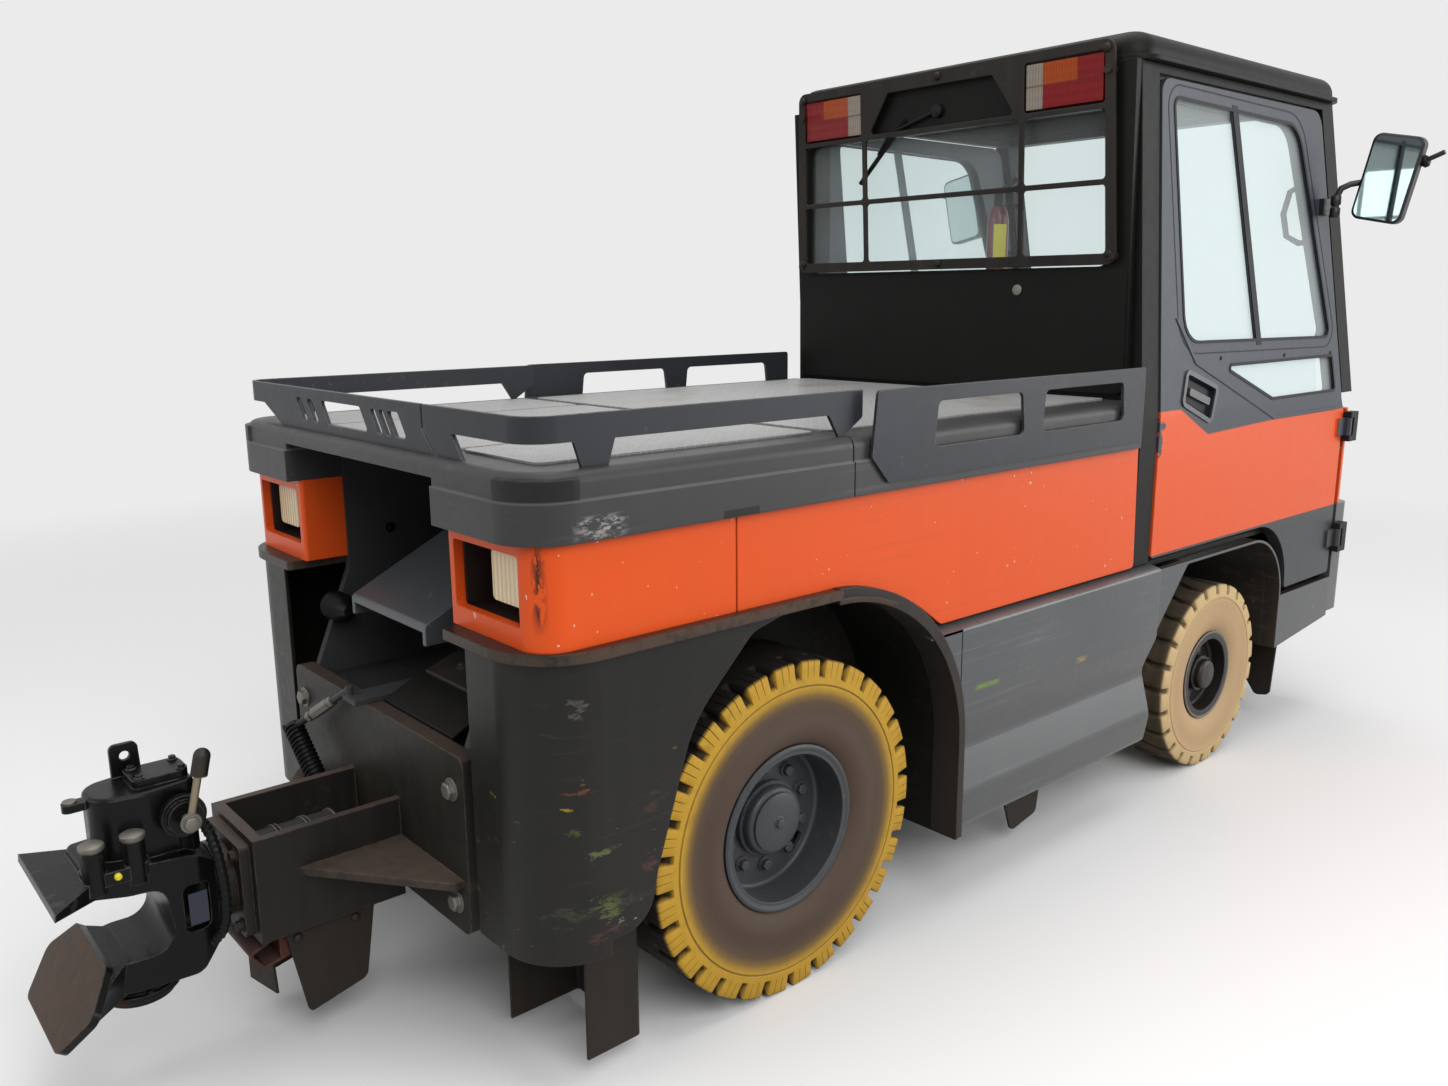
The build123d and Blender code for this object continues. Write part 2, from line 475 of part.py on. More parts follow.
leg = along_x(outline([(12 - RAIL_GAP, RAIL_LOW + 1, 0), (60 - RAIL_GAP, DECK_TOP, 0),
                       (TOWER_IN + 75, DECK_TOP, 0),
                       (TOWER_IN + 40, RAIL_LOW + 1, 0)]), RAIL_X, RAIL_X + RAIL_T)
centre = along_x(outline([(RAIL_GAP, RAIL_TOP - 2, 0), (RAIL_GAP, RAIL_LOW, 0), (RAIL_GAP - 48, DECK_TOP, 0),
                          (TOWER_IN + 70, DECK_TOP, 0), (TOWER_IN + 175, RAIL_LOW + 1, 0),
                          (TOWER_IN + 175, RAIL_TOP - 2, 0)]), RAIL_X, RAIL_X + RAIL_T)
left_rail += centre
for piece in (foot, corner_foot):
    left_rail += piece
    right_rail += piece
right_rail += leg
SLOT_SLANT = 35.0  # the slots lean by this much over their height
SLOTS = (("y0", "y1"), (296.0, 326.0), (236.0, 266.0), (-6.0, 190.0), (-76.0, -52.0), (-112.0, -90.0),
         (-176.0, -128.0))
for y0, y1 in SLOTS[1:]:
    left_rail -= along_x(outline([(y0 - SLOT_SLANT, DECK_TOP + 20, 6), (y1 - SLOT_SLANT, DECK_TOP + 20, 6),
                                  (y1, RAIL_TOP - 22, 6), (y0, RAIL_TOP - 22, 6)]), RAIL_X - 1,
                                  RAIL_X + RAIL_T + 1)
keep("rear_rails", left_rail, flip(right_rail))
GUARD_LOW, GUARD_X0, GUARD_X1 = PANEL_TOP + 19, RAIL_END - 8, CAB_REAR - 17
guard = along_y(outline([(GUARD_X0 + 53, GUARD_LOW, 10), (GUARD_X1, GUARD_LOW, 10), (GUARD_X1, RAIL_TOP, 10),
                         (GUARD_X0 + 16, RAIL_TOP, 10), (GUARD_X0, GUARD_LOW + 57, 10)]), SKIRT_HALF,
                         SKIRT_HALF + RAIL_T)
for x0, x1 in ((GUARD_X0 + 198, GUARD_X0 + 528), (GUARD_X0 + 598, GUARD_X1 - 94)):
    guard -= along_y(outline([(x0, GUARD_LOW + 63, 15), (x1, GUARD_LOW + 63, 15),
                              (x1 - 12, RAIL_TOP - 33, 15),
                              (x0 + 12, RAIL_TOP - 33, 15)]), SKIRT_HALF - 1, SKIRT_HALF + RAIL_T + 1)
keep("side_guards", both(guard))

# Inside the recess between the towers: sloping cover, shelf, release bar with its rod and spring
SLOPE_IN, SLOPE_OUT, SLOPE_T = -150.0, 200.0, 12.0
SLOPE_Z0, SLOPE_Z1, SLOPE_BACK = LEDGE_TOP - 100.0, LEDGE_TOP + 95.0, 380.0
slope = along_y(outline([(40, SLOPE_Z0, 0), (40, SLOPE_Z0 + 42, 14), (SLOPE_BACK - 30, SLOPE_Z1, 10),
                         (SLOPE_BACK, SLOPE_Z1, 0),
                         (SLOPE_BACK, SLOPE_Z0, 0)]), SLOPE_IN, SLOPE_OUT)
slope -= along_y(outline([(30, SLOPE_Z0 - 10, 0), (30, SLOPE_Z0 + 22, 0), (SLOPE_BACK - 36, SLOPE_Z1 - 17, 0),
                          (SLOPE_BACK + 1, SLOPE_Z1 - 17, 0), (SLOPE_BACK + 1, SLOPE_Z0 - 10, 0)]),
                 SLOPE_IN + SLOPE_T, SLOPE_OUT - SLOPE_T)
keep("recess_cover", slope)
SHELF_Z = PLATE_Z1 - 40.0
BAR_Z = PLATE_Z1
shelf = box(PLATE_FRONT, SLOPE_BACK, -TOWER_IN, TOWER_IN, SHELF_Z, SHELF_Z + 12)
shelf += box(-50, 300, 10, 75, BAR_Z, BAR_Z + 12)
shelf += box(60, 72, 10, 75, SHELF_Z + 11, BAR_Z + 1)
shelf += rod((-40, 60, BAR_Z + 11), (-40, 60, BAR_Z + 32), 8)
HOOK = (-78, 300, BAR_Z - 120)
shelf += rod((-40, 60, BAR_Z + 24), HOOK, 8)
shelf += rod((-78, 308, BAR_Z - 115), (-75, 165, BOX_Z1 - 65), 17)
shelf += rod((-75, 165, TOW_Z + 28), (-75, 165, BOX_Z1 - 62), 7)
keep("recess_linkage", shelf)

# Splash guards behind the rear wheels, flaps below the sills, the tow box and the step panels
FLAP_T, FLAP_LOW = 6.0, 45.0
flap_path = [(110, BODY_HALF - 65, 0), (238, BODY_HALF - 65, 12), (238, FRAME_OUT, 12), (70, FRAME_OUT, 0)]
keep("splash_guards", both(along_z(outline(strip(flap_path, -FLAP_T)), FLAP_LOW, FENDER_LOW + 60)))
SILL_FLAP_X = CAB_REAR - 396.0
sill_flap = along_y(outline([(SILL_FLAP_X, TROUGH_Z, 0), (SILL_FLAP_X + 70, 40, 20),
                             (SILL_FLAP_X + 185, 62, 20),
                             (SILL_FLAP_X + 210, TROUGH_Z, 0)]), TROUGH_HALF - 60, TROUGH_HALF - 54)
guard_plate = along_y(outline([(BOX_REAR + 50, BOX_Z0, 0), (BOX_REAR + 85, 65, 10), (BOX_REAR + 210, 95, 20),
                               (BOX_REAR + 235, BOX_Z0, 0)]), BOX_HALF - BOX_T, BOX_HALF - BOX_T + FLAP_T)
front_flap = along_x(outline([(BODY_HALF - 200, STEP_LOW, 0), (BODY_HALF - 190, 190, 10),
                              (BODY_HALF - 120, 90, 20),
                              (BODY_HALF - 70, 100, 20), (BODY_HALF - 50, STEP_LOW, 0)]), FA_FRONT + 150,
                              FA_FRONT + 158)
keep("mud_flaps", both(sill_flap), both(guard_plate), both(front_flap))

# Rear axle with drive housing
SPINDLE_R, HUB_R = 34.0, 62.0
axle = rod((REAR_X, -REAR_Y + 70, REAR_R), (REAR_X, REAR_Y - 70, REAR_R), 74)
axle += rod((REAR_X, -REAR_Y - 24, REAR_R), (REAR_X, REAR_Y + 24, REAR_R), SPINDLE_R)
axle += box(REAR_X - 150, REAR_X + 150, -170, 170, REAR_R - 130, REAR_R + 140)
for piece in both(box(REAR_X - 62, REAR_X + 62, TOWER_IN, FRAME_OUT, REAR_R, SLOT_TOP)):
    axle += piece
keep("rear_axle", axle)

# Front axle beam, knuckles and tie rod: the arms are parallel, so the rod stays square to the tractor
BEAM_Z0, BEAM_Z1, BEAM_HALF = FRONT_R - 36.0, FRONT_R + 36.0, 40.0
KING_R, EYE_R, STUB_R = 22.0, 38.0, 26.0
FORK_Z0, FORK_Z1, FORK_HALF = FRONT_R - 72.0, FRONT_R + 72.0, 34.0
ARM_BACK, ARM_Z0, ARM_Z1, ARM_HALF = 130.0, FRONT_R - 80.0, FRONT_R - 64.0, 18.0
TIE_PIN_R, TIE_EYE_R, TIE_H = 9.0, 19.0, 22.0
beam = box(FRONT_X - BEAM_HALF, FRONT_X + BEAM_HALF, -KING_Y + 25, KING_Y - 25, BEAM_Z0, BEAM_Z1)
for piece in both(box(FRONT_X - BEAM_HALF, FRONT_X + BEAM_HALF, RAIL_IN, RAIL_OUT, BEAM_Z1 - 1, RAIL_Z)):
    beam += piece
for y in (-KING_Y, KING_Y):
    beam += rod((FRONT_X, y, BEAM_Z0), (FRONT_X, y, BEAM_Z1), EYE_R)
    beam -= rod((FRONT_X, y, BEAM_Z0 - 1), (FRONT_X, y, BEAM_Z1 + 1), KING_R + FIT)
keep("front_axle", beam)


def knuckle(side):
    """Fork around the axle eye with stub axle and steering arm; side is 1 for left."""
    arm_x = FRONT_X - ARM_BACK
    k = rod((FRONT_X, KING_Y, FORK_Z0), (FRONT_X, KING_Y, FORK_Z1), KING_R)
    for z0, z1 in ((FORK_Z0, BEAM_Z0 - AXIAL), (BEAM_Z1 + AXIAL, FORK_Z1)):
        k += along_z(outline([(FRONT_X - FORK_HALF, KING_Y - 26, 20), (FRONT_X + FORK_HALF, KING_Y - 26, 20),
                              (FRONT_X + FORK_HALF, KING_Y + 60, 0), (FRONT_X - FORK_HALF, KING_Y + 60, 0)]),
                              z0, z1)
    k += box(FRONT_X - FORK_HALF, FRONT_X + FORK_HALF, KING_Y + EYE_R + 5, KING_Y + 60, FORK_Z0, FORK_Z1)
    k += rod((FRONT_X, KING_Y + 59, FRONT_R), (FRONT_X, FRONT_Y + 44, FRONT_R), STUB_R)
    k += along_z(outline([(FRONT_X + 22, KING_Y + 20, 10), (FRONT_X + 22, KING_Y - 30, 20),
                          (arm_x - ARM_HALF, KING_Y - ARM_HALF, 17),
                          (arm_x - ARM_HALF, KING_Y + ARM_HALF, 17)]),
                 ARM_Z0, ARM_Z1)
    k += rod((arm_x, KING_Y, ARM_Z0 - 30), (arm_x, KING_Y, ARM_Z0 + 2), TIE_PIN_R)
    return k if side > 0 else flip(k)


keep("knuckle_left", knuckle(1))
keep("knuckle_right", knuckle(-1))
TIE_X, TIE_Z1 = FRONT_X - ARM_BACK, ARM_Z0 - AXIAL
tie = rod((TIE_X, -KING_Y, TIE_Z1 - TIE_H / 2), (TIE_X, KING_Y, TIE_Z1 - TIE_H / 2), 10)
for y in (-KING_Y, KING_Y):
    tie += rod((TIE_X, y, TIE_Z1 - TIE_H), (TIE_X, y, TIE_Z1), TIE_EYE_R)
    tie -= rod((TIE_X, y, TIE_Z1 - TIE_H - 1), (TIE_X, y, TIE_Z1 + 1), TIE_PIN_R + FIT)
keep("tie_rod", tie)

# Wheels
REAR_BEAD, REAR_FLANGE, FRONT_BEAD, FRONT_FLANGE = 170.0, 182.0, 124.0, 140.0
REAR_SEAT, FRONT_SEAT = 88.0, 62.0
BARREL_T, FLANGE_W = 8.0, 8.0
LUG_SHARE = 0.74  # of the pitch, the rest is groove
SHOULDER = 14.0
BEAD_BACK = 6.0  # the bead stands back from the rim's flange


def tyre(x, y, r, w, bead, seat, lugs, depth, reach, shift):
    """Left tyre with flat facets: lugs and grooves in turn.

    The grooves run reach inwards from each shoulder and end level with the tread, or right across
    it when reach is 0, their halves turned against each other by shift degrees.
    """
    h = w / 2
    stop = h - reach if reach else h / 3
    pitch = 360 / lugs
    inner = (bead + 0.3) / math.cos(math.radians((pitch * LUG_SHARE + shift) / 2))
    flank = [(inner, seat - BEAD_BACK), (0.72 * r, h), (0.86 * r, h - 2)]
    lug = flank + [(r, h - SHOULDER), (r, stop)]
    groove = flank + [(r - depth, h - SHOULDER / 2), (r if reach else r - depth, stop)]
    n = len(lug)

    def point(profile, i, turn):
        radius, off = profile[i] if i < n else profile[2 * n - 1 - i]
        angle = math.radians(turn + (shift / 2 if i < n else -shift / 2))
        return (x + radius * math.cos(angle), y + (off if i < n else -off), r + radius * math.sin(angle))

    def patch(*points):
        return Face(Wire.make_polygon(points))

    faces = []
    for k in range(lugs):
        a = -90 - shift / 2 + k * pitch
        b, c = a + pitch * LUG_SHARE, a + pitch
        for profile, t0, t1 in ((lug, a, b), (groove, b, c)):
            for i in range(2 * n):
                j = (i + 1) % (2 * n)
                p = [point(profile, i, t0), point(profile, i, t1), point(profile, j, t1),
                     point(profile, j, t0)]
                if shift and i in (n - 1, 2 * n - 1):
                    faces += [patch(p[0], p[1], p[2]), patch(p[0], p[2], p[3])]
                else:
                    faces.append(patch(*p))
        for t in (b, c):
            ends = [[2, 3, 4], [2 * n - 3, 2 * n - 4, 2 * n - 5]]
            for u, v, s in ends:
                side_wall = [point(lug, u, t), point(lug, v, t), point(lug, s, t)]
                if not reach:
                    side_wall.append(point(groove, s, t))
                faces.append(patch(*side_wall, point(groove, v, t)))
            if not reach:
                p = [point(lug, n - 1, t), point(lug, n, t), point(groove, n, t), point(groove, n - 1, t)]
                faces += [patch(p[0], p[1], p[2]), patch(p[0], p[2], p[3])]
    return Solid(Shell(faces))


def rim(x, y, r, bead, flange, seat, dish, hub_r, bore_r, hub, cap_r):
    """Left rim: barrel with two flanges, a dished disc at offset dish and a bored hub between two offsets."""
    inner = bead - BARREL_T
    edge = seat + FLANGE_W
    profile = [
        (inner, -edge, 2), (flange, -edge, 3), (flange, -seat, 2), (bead, -seat, 0), (bead, seat, 0),
        (flange, seat, 2), (flange, edge, 3), (inner, edge, 2), (inner, dish + 12, 10), (hub_r, dish + 12, 0),
        (hub_r, hub[1] - 1, 0), (bore_r, hub[1] - 1, 0), (bore_r, hub[0], 0), (hub_r, hub[0], 4),
        (hub_r, dish, 6),
        (inner, dish, 10),
    ]
    body = turned(profile, x, y, r)
    cap = [(0, hub[1] - 1, 0), (cap_r, hub[1] - 1, 0), (cap_r, hub[1] + 22, 12), (0, hub[1] + 26, 0)]
    return body + turned(cap, x, y, r)


REAR_LUGS, FRONT_LUGS = 30, 24
rear_tyre = tyre(REAR_X, REAR_Y, REAR_R, REAR_W, REAR_BEAD, REAR_SEAT, REAR_LUGS, 26.0, 62.0, 0.0)
front_tyre = tyre(FRONT_X, FRONT_Y, FRONT_R, FRONT_W, FRONT_BEAD, FRONT_SEAT, FRONT_LUGS, 16.0, 0.0, 5.0)
rear_rim = rim(REAR_X, REAR_Y, REAR_R, REAR_BEAD, REAR_FLANGE, REAR_SEAT, 0, HUB_R + 22, SPINDLE_R + FIT,
               (-60, 30), 78)
hand_hole = Pos(REAR_X + 92, REAR_R - 92) * Rot(0, 0, 45) * SlotOverall(56, 34)
rear_rim -= along_y(hand_hole, REAR_Y - 20, REAR_Y + 30)
front_rim = rim(FRONT_X, FRONT_Y, FRONT_R, FRONT_BEAD, FRONT_FLANGE, FRONT_SEAT, 8, 56, STUB_R + FIT,
                (2, 50), 48)
for name, wheel_piece in (("rear_tyre_", rear_tyre), ("rear_rim_", rear_rim), ("front_tyre_", front_tyre),
                          ("front_rim_", front_rim)):
    keep(name + "left", wheel_piece)
    keep(name + "right", flip(wheel_piece))

# Front wheel arches and the panels below the doors
fa_path = [(SILL_FRONT, FA_TOP - 215, 0), (SILL_FRONT + 195, FA_TOP, 30), (FA_FRONT, FA_TOP, FA_R),
           (FA_FRONT, STEP_LOW - 180, 0)]
fa = along_y(outline(strip(fa_path, -PLATE_T)), RAIL_OUT + 15, BODY_HALF)
fa += along_y(outline([(SILL_FRONT, FA_TOP - 225, 0), (SILL_FRONT, FA_TOP, 0),
                       (SILL_FRONT + 200, FA_TOP, 0)]),
              BODY_HALF - PANEL_T, BODY_HALF)
fa += along_y(outline([(FA_FRONT - 1, STEP_LOW - 178, 0), (NOSE_REAR, STEP_LOW - 140, 0),
                       (NOSE_REAR, STEP_LOW, 0),
                       (FA_FRONT - 1, STEP_LOW, 0)]), BODY_HALF - PANEL_T, BODY_HALF)
keep("front_fenders", both(fa))

# Cab floor: seat platform, riser and foot well
FLOOR_HALF = DOOR_IN - 4.0
floor_path = [(PILLAR_X, FA_TOP, 0), (FA_FRONT + 30, FA_TOP, 0), (FA_FRONT + 30, STEP_LOW, 0),
              (NOSE_X - 45, STEP_LOW, 0)]
keep("cab_floor", along_y(outline(strip(floor_path, FLOOR_T)), -FLOOR_HALF, FLOOR_HALF))


# Cab frame: leaning pillars and headers, hinge posts
def post(z0, z1, x_low, x_high, width, y0, y1):
    """Leaning bar in a side view: its rear edge goes from x_low to x_high."""
    return along_y(outline([(x_low, z0, 0), (x_low + width, z0, 0), (x_high + width, z1, 0),
                            (x_high, z1, 0)]), y0, y1)


PILLAR_OUT = BODY_HALF - 4.0
side_frame = post(SILL_TOP, BELT_Z, PILLAR_X, PILLAR_X, B_W, CAB_IN, PILLAR_OUT)
upper_frame = post(BELT_Z - 4, ROOF_Z, PILLAR_X + 1, lean(ROOF_Z) + CAB_WALL_T + 1, B_W, CAB_IN, PILLAR_OUT)
upper_frame += post(BELT_Z - 4, ROOF_Z, A_FOOT + 20, A_HEAD, A_W, CAB_IN, PILLAR_OUT)
upper_frame += box(lean(HEAD_Z) + CAB_WALL_T + 2, A_HEAD + A_W, CAB_IN, PILLAR_OUT, HEAD_Z, ROOF_Z)
side_frame += tumble(upper_frame)
side_frame += box(NOSE_REAR, NOSE_FACE - PANEL_T - 12, CAB_IN, BODY_HALF - BUMPER_T, STEP_FLOOR, BELT_Z)
cab_frame = side_frame + flip(side_frame)
cab_frame += post(HEAD_Z - 30, ROOF_Z, lean(HEAD_Z - 30) + CAB_WALL_T, lean(ROOF_Z) + CAB_WALL_T, 40,
                  -CAB_IN, CAB_IN)
cab_frame += box(A_HEAD + 20, A_HEAD + A_W, -CAB_IN, CAB_IN, HEAD_Z, ROOF_Z)
cab_frame += box(A_FOOT + 30, NOSE_FACE - PANEL_T, -CAB_IN, CAB_IN, WIND_Z - 50, WIND_Z)
keep("cab_frame", cab_frame)

# Cab rear wall with its raised lower panel, rear window and guard
WALL_HALF = BODY_HALF - 42.0
WINDOW_TOP = WALL_TOP + WINDOW_H


def rear_window():
    """Prism through the rear wall with the outline of its window."""
    low, high = CAB_IN - 42, CAB_IN - 60
    return along_x(outline([(-low, WALL_TOP, 30), (low, WALL_TOP, 30), (high, WINDOW_TOP, 30),
                            (-high, WINDOW_TOP, 30)]),
                   lean(ROOF_Z) - 50, CAB_REAR + 100)


def rear_sheet(x_off, t, half_low, half_high, z0, z1, r):
    """Sheet parallel to the leaning rear face, x_off in front of it."""
    base = Plane(origin=(lean(z0) + x_off, 0, z0), x_dir=(0, 1, 0), z_dir=(math.cos(TILT), 0, math.sin(TILT)))
    h = (z1 - z0) / math.cos(TILT)
    face = outline([(-half_low, 0, r), (half_low, 0, r), (half_high, h, r), (-half_high, h, r)])
    return extrude(base * face, t * math.cos(TILT))


wall = along_y(
    outline([
        (CAB_REAR, FA_TOP, 0), (CAB_REAR, BELT_Z, 0), (lean(ROOF_Z), ROOF_Z, 0),
        (lean(ROOF_Z) + CAB_WALL_T, ROOF_Z, 0),
        (PILLAR_X, BELT_Z, 0), (PILLAR_X, FA_TOP, 0),
    ]),
    -WALL_HALF, WALL_HALF,
)
wall += rear_sheet(-6, 8, WALL_HALF - 6, WALL_HALF - 6, DECK_TOP + 14, WALL_TOP - 8, 22)
wall -= rear_window()
keep("cab_rear_wall", wall)
keep("rear_glass", rear_sheet(10, GLASS_T, WALL_HALF, WALL_HALF, WALL_TOP - 20, WINDOW_TOP + 20,
                              0) & rear_window())
GUARD_T, GUARD_OFF = 8.0, -26.0
GUARD_HALF_LOW, GUARD_HALF_HIGH, GUARD_TOP = CAB_IN - 8.0, CAB_IN - 30.0, WINDOW_TOP + 162.0
BAR_Y, BAR_HALF = 286.0, 7.0
MESH_LOW, MESH_MID, MESH_HIGH = WALL_TOP + 32.0, WALL_TOP + 212.0, WINDOW_TOP - 3.0
LAMP_LOW, LAMP_HIGH = WINDOW_TOP + 10.0, GUARD_TOP - 25.0
guard_sheet = rear_sheet(GUARD_OFF, GUARD_T, GUARD_HALF_LOW, GUARD_HALF_HIGH, WALL_TOP + 3, GUARD_TOP, 28)
IN_Y, OUT_Y = BAR_Y - BAR_HALF, BAR_Y + BAR_HALF
EDGE_LOW, EDGE_MID, EDGE_HIGH = GUARD_HALF_LOW - 30, GUARD_HALF_LOW - 37, GUARD_HALF_LOW - 44
WINDOWS = (
    ("y0 low", "y1 low", "y0 high", "y1 high", "z0", "z1"),
    (-IN_Y, IN_Y, -IN_Y, IN_Y, MESH_LOW, MESH_MID - BAR_HALF),
    (-IN_Y, IN_Y, -IN_Y, IN_Y, MESH_MID + BAR_HALF, MESH_HIGH),
    (OUT_Y, EDGE_LOW, OUT_Y, EDGE_MID, MESH_LOW, MESH_MID - BAR_HALF),
    (OUT_Y, EDGE_MID, OUT_Y, EDGE_HIGH, MESH_MID + BAR_HALF, MESH_HIGH),
    (-265, 265, -188, 188, MESH_HIGH + 14, GUARD_TOP - 39),
    (OUT_Y, EDGE_HIGH, OUT_Y, EDGE_HIGH - 4, LAMP_LOW, LAMP_HIGH),
)
for y0, y1, y2, y3, z0, z1 in WINDOWS[1:]:
    cut = along_x(outline([(y0, z0, 10), (y1, z0, 10), (y3, z1, 10), (y2, z1, 10)]), lean(ROOF_Z) - 50,
                  CAB_REAR + 6)
    guard_sheet -= cut
    if y0 > 0:
        guard_sheet -= flip(cut)
STUDS = (("y", "z"), (GUARD_HALF_LOW - 16, WALL_TOP + 25), (GUARD_HALF_HIGH - 15, LAMP_LOW + 80))
for y, z in STUDS[1:]:
    for s in (y, -y):
        base = Plane(origin=(lean(z), s, z), x_dir=(0, 1, 0), z_dir=(-math.cos(TILT), 0, -math.sin(TILT)))
        guard_sheet += extrude(base * Circle(11), 32)
keep("rear_guard", guard_sheet)
lamp = rear_sheet(-24, 24, WALL_HALF, WALL_HALF, LAMP_LOW + 7, LAMP_HIGH - 6, 0)
lamp &= box(lean(ROOF_Z) - 100, CAB_REAR, OUT_Y + 6, EDGE_HIGH - 8, LAMP_LOW, LAMP_HIGH)
keep("tail_lamps", both(lamp))

# Roof shell with its gutter, and the windscreen
ROOF_HALF, ROOF_FRONT, GUTTER = BODY_HALF - 32.0, A_HEAD + A_W + 28.0, 14.0
roof = box(lean(ROOF_Z) + 1, ROOF_FRONT, -ROOF_HALF, ROOF_HALF, ROOF_Z, ROOF_TOP)
roof = fillet(roof.edges().filter_by(Axis.Z), 70)
roof = fillet(roof.edges().group_by(Axis.Z)[-1], 55)
roof += along_z(slab(lean(ROOF_Z) + 1, ROOF_FRONT + GUTTER, -ROOF_HALF - GUTTER, ROOF_HALF + GUTTER, 80),
                ROOF_Z, ROOF_Z + 12)
roof -= box(lean(ROOF_Z) + 60, A_HEAD, -ROOF_HALF + 58, ROOF_HALF - 58, ROOF_Z - 1, ROOF_TOP - 20)
keep("cab_roof", roof)
keep("windscreen", post(WIND_Z, HEAD_Z, A_FOOT + 58, A_HEAD + 36, GLASS_T, -CAB_IN + 40, CAB_IN - 40))


# Front: painted nose panel, lower bumper
def nose(z0, z1, x_front, t):
    """Panel wrapped around the front corners."""
    path = [(NOSE_REAR, BODY_HALF, 0), (x_front, BODY_HALF, 60), (x_front, -BODY_HALF, 60),
            (NOSE_REAR, -BODY_HALF, 0)]
    return along_z(outline(strip(path, -t)), z0, z1)


NOSE_Z = SILL_TOP + 17.0
keep("nose_panel", nose(NOSE_Z, WIND_Z, NOSE_FACE, PANEL_T))
keep("front_bumper", nose(STEP_LOW - 125, NOSE_Z - SEAM, NOSE_X, BUMPER_T))
keep("head_lamps", both(along_x(slab(BODY_HALF - 260, BODY_HALF - 110, NOSE_Z + 68, NOSE_Z + 188, 20),
                                NOSE_FACE, NOSE_FACE + 15)))

# Doors: frame with window openings, raised moulding, handle recess and hinge sleeves
DOOR_TOP = HEAD_Z - GAP
DOOR_REAR = PILLAR_X + B_W + GAP
DOOR_LOW = SILL_TOP + 10.0
door_edge = [
    (DOOR_REAR, DOOR_LOW, 10), (FA_FRONT + 20, DOOR_LOW, FA_R), (FA_FRONT + 20, STEP_FLOOR + 8, 12),
    (HINGE_X - 14, STEP_FLOOR + 8, 12), (HINGE_X - 14, WIND_Z - 5, 10), (A_FOOT + 8, BELT_Z - 20, 30),
    (A_HEAD - 10, DOOR_TOP, 70), (lean(DOOR_TOP) + CAB_WALL_T + B_W + GAP, DOOR_TOP, 40),
    (DOOR_REAR, BELT_Z, 0),
]
# corners of the openings: from the door's rear edge, from the belt line, rounding
WINDOW = ((18, 830, 24), (758, 820, 110), (1068, 185, 24), (118, 195, 90))
LOWER_WINDOW = ((335, 124, 10), (1090, 125, 10), (1132, 8, 10), (670, 8, 16))
DIVIDER = ((335, 838, 0), (367, 838, 0), (580, 175, 0), (548, 175, 0))
PANE_IN = 16.0  # from the door's outer face to the inner face of its panes
HANDLE = ((132, 120, 16), (310, 64, 16), (280, -36, 16), (112, 28, 16))
MOULDING = ((62, 262, 0), (180, 134, 40), (690, -56, 30), (1150, -56, 0), (1150, -46, 0), (692, -46, 30),
            (186, 144, 40),
            (72, 262, 0))
HINGES = (("z0", "z1"), (STEP_FLOOR + 100, STEP_FLOOR + 160), (STEP_FLOOR + 485, STEP_FLOOR + 545))


def on_door(corners, y0, y1):
    """Prism of an outline on the upright door."""
    return along_y(outline([(DOOR_REAR + u, BELT_Z + v, r) for u, v, r in corners]), y0, y1)


def door(side):
    shell = along_y(outline(door_edge), DOOR_IN, BODY_HALF)
    span = (DOOR_REAR - 200, NOSE_X, DOOR_IN - 1, BODY_HALF + 1)
    low = shell & box(*span, 0, BELT_Z)
    high = shell & box(*span, BELT_Z - 3, ROOF_Z)
    high -= on_door(WINDOW, DOOR_IN - 1, BODY_HALF + 1)
    high -= on_door(LOWER_WINDOW, DOOR_IN - 1, BODY_HALF + 1)
    high += on_door(DIVIDER, BODY_HALF - PANE_IN + GLASS_T + 1, BODY_HALF - 2)
    whole = low + tumble(high)
    whole -= on_door(HANDLE, BODY_HALF - 22, BODY_HALF + 1)
    whole += on_door(MOULDING, BODY_HALF - 10, BODY_HALF + 3) & box(*span[:2], DOOR_IN, BODY_HALF + 3, 0,
                                                                    BELT_Z)
    whole += tumble(on_door(MOULDING, BODY_HALF - 10, BODY_HALF + 3) & box(*span[:2], DOOR_IN, BODY_HALF + 3,
                                                                           BELT_Z, ROOF_Z))
    for z0, z1 in HINGES[1:]:
        whole += box(HINGE_X - 60, HINGE_X - 4, BODY_HALF - 2, BODY_HALF + 8, z0, z1)
        whole += rod((HINGE_X, HINGE_Y, z0), (HINGE_X, HINGE_Y, z1), SLEEVE_R)
        whole -= rod((HINGE_X, HINGE_Y, z0 - 1), (HINGE_X, HINGE_Y, z1 + 1), PIN_R + FIT)
    return whole if side > 0 else flip(whole)


def pane(side):
    y0 = BODY_HALF - PANE_IN
    glass = on_door(WINDOW, y0, y0 + GLASS_T) + on_door(LOWER_WINDOW, y0, y0 + GLASS_T)
    glass = tumble(glass)
    return glass if side > 0 else flip(glass)


MIRROR_X, MIRROR_Z = A_HEAD + 38.0, BELT_Z + 590.0


def mirror_head(side):
    """Mirror on a bent arm clamped to the front of the door's window frame."""
    def bend(x, y, z):
        return (MIRROR_X + x, BODY_HALF + y, MIRROR_Z + z)
    arm = rod(bend(0, -16, 0), bend(15, 40, 20), 11)
    arm += rod(bend(15, 40, 20), bend(10, 288, 130), 11)
    arm += Pos(*bend(15, 40, 20)) * Sphere(11)
    clamp = tumble(box(MIRROR_X - 25, MIRROR_X + 25, BODY_HALF, BODY_HALF + 16, MIRROR_Z - 25, MIRROR_Z + 25))
    shell = Pos(*bend(38, 150, 75)) * Rot(-12, 0, 0) * Box(44, 150, 255)
    shell = fillet(shell.edges().filter_by(Axis.X), 26)
    whole = arm + clamp + shell
    return whole if side > 0 else flip(whole)


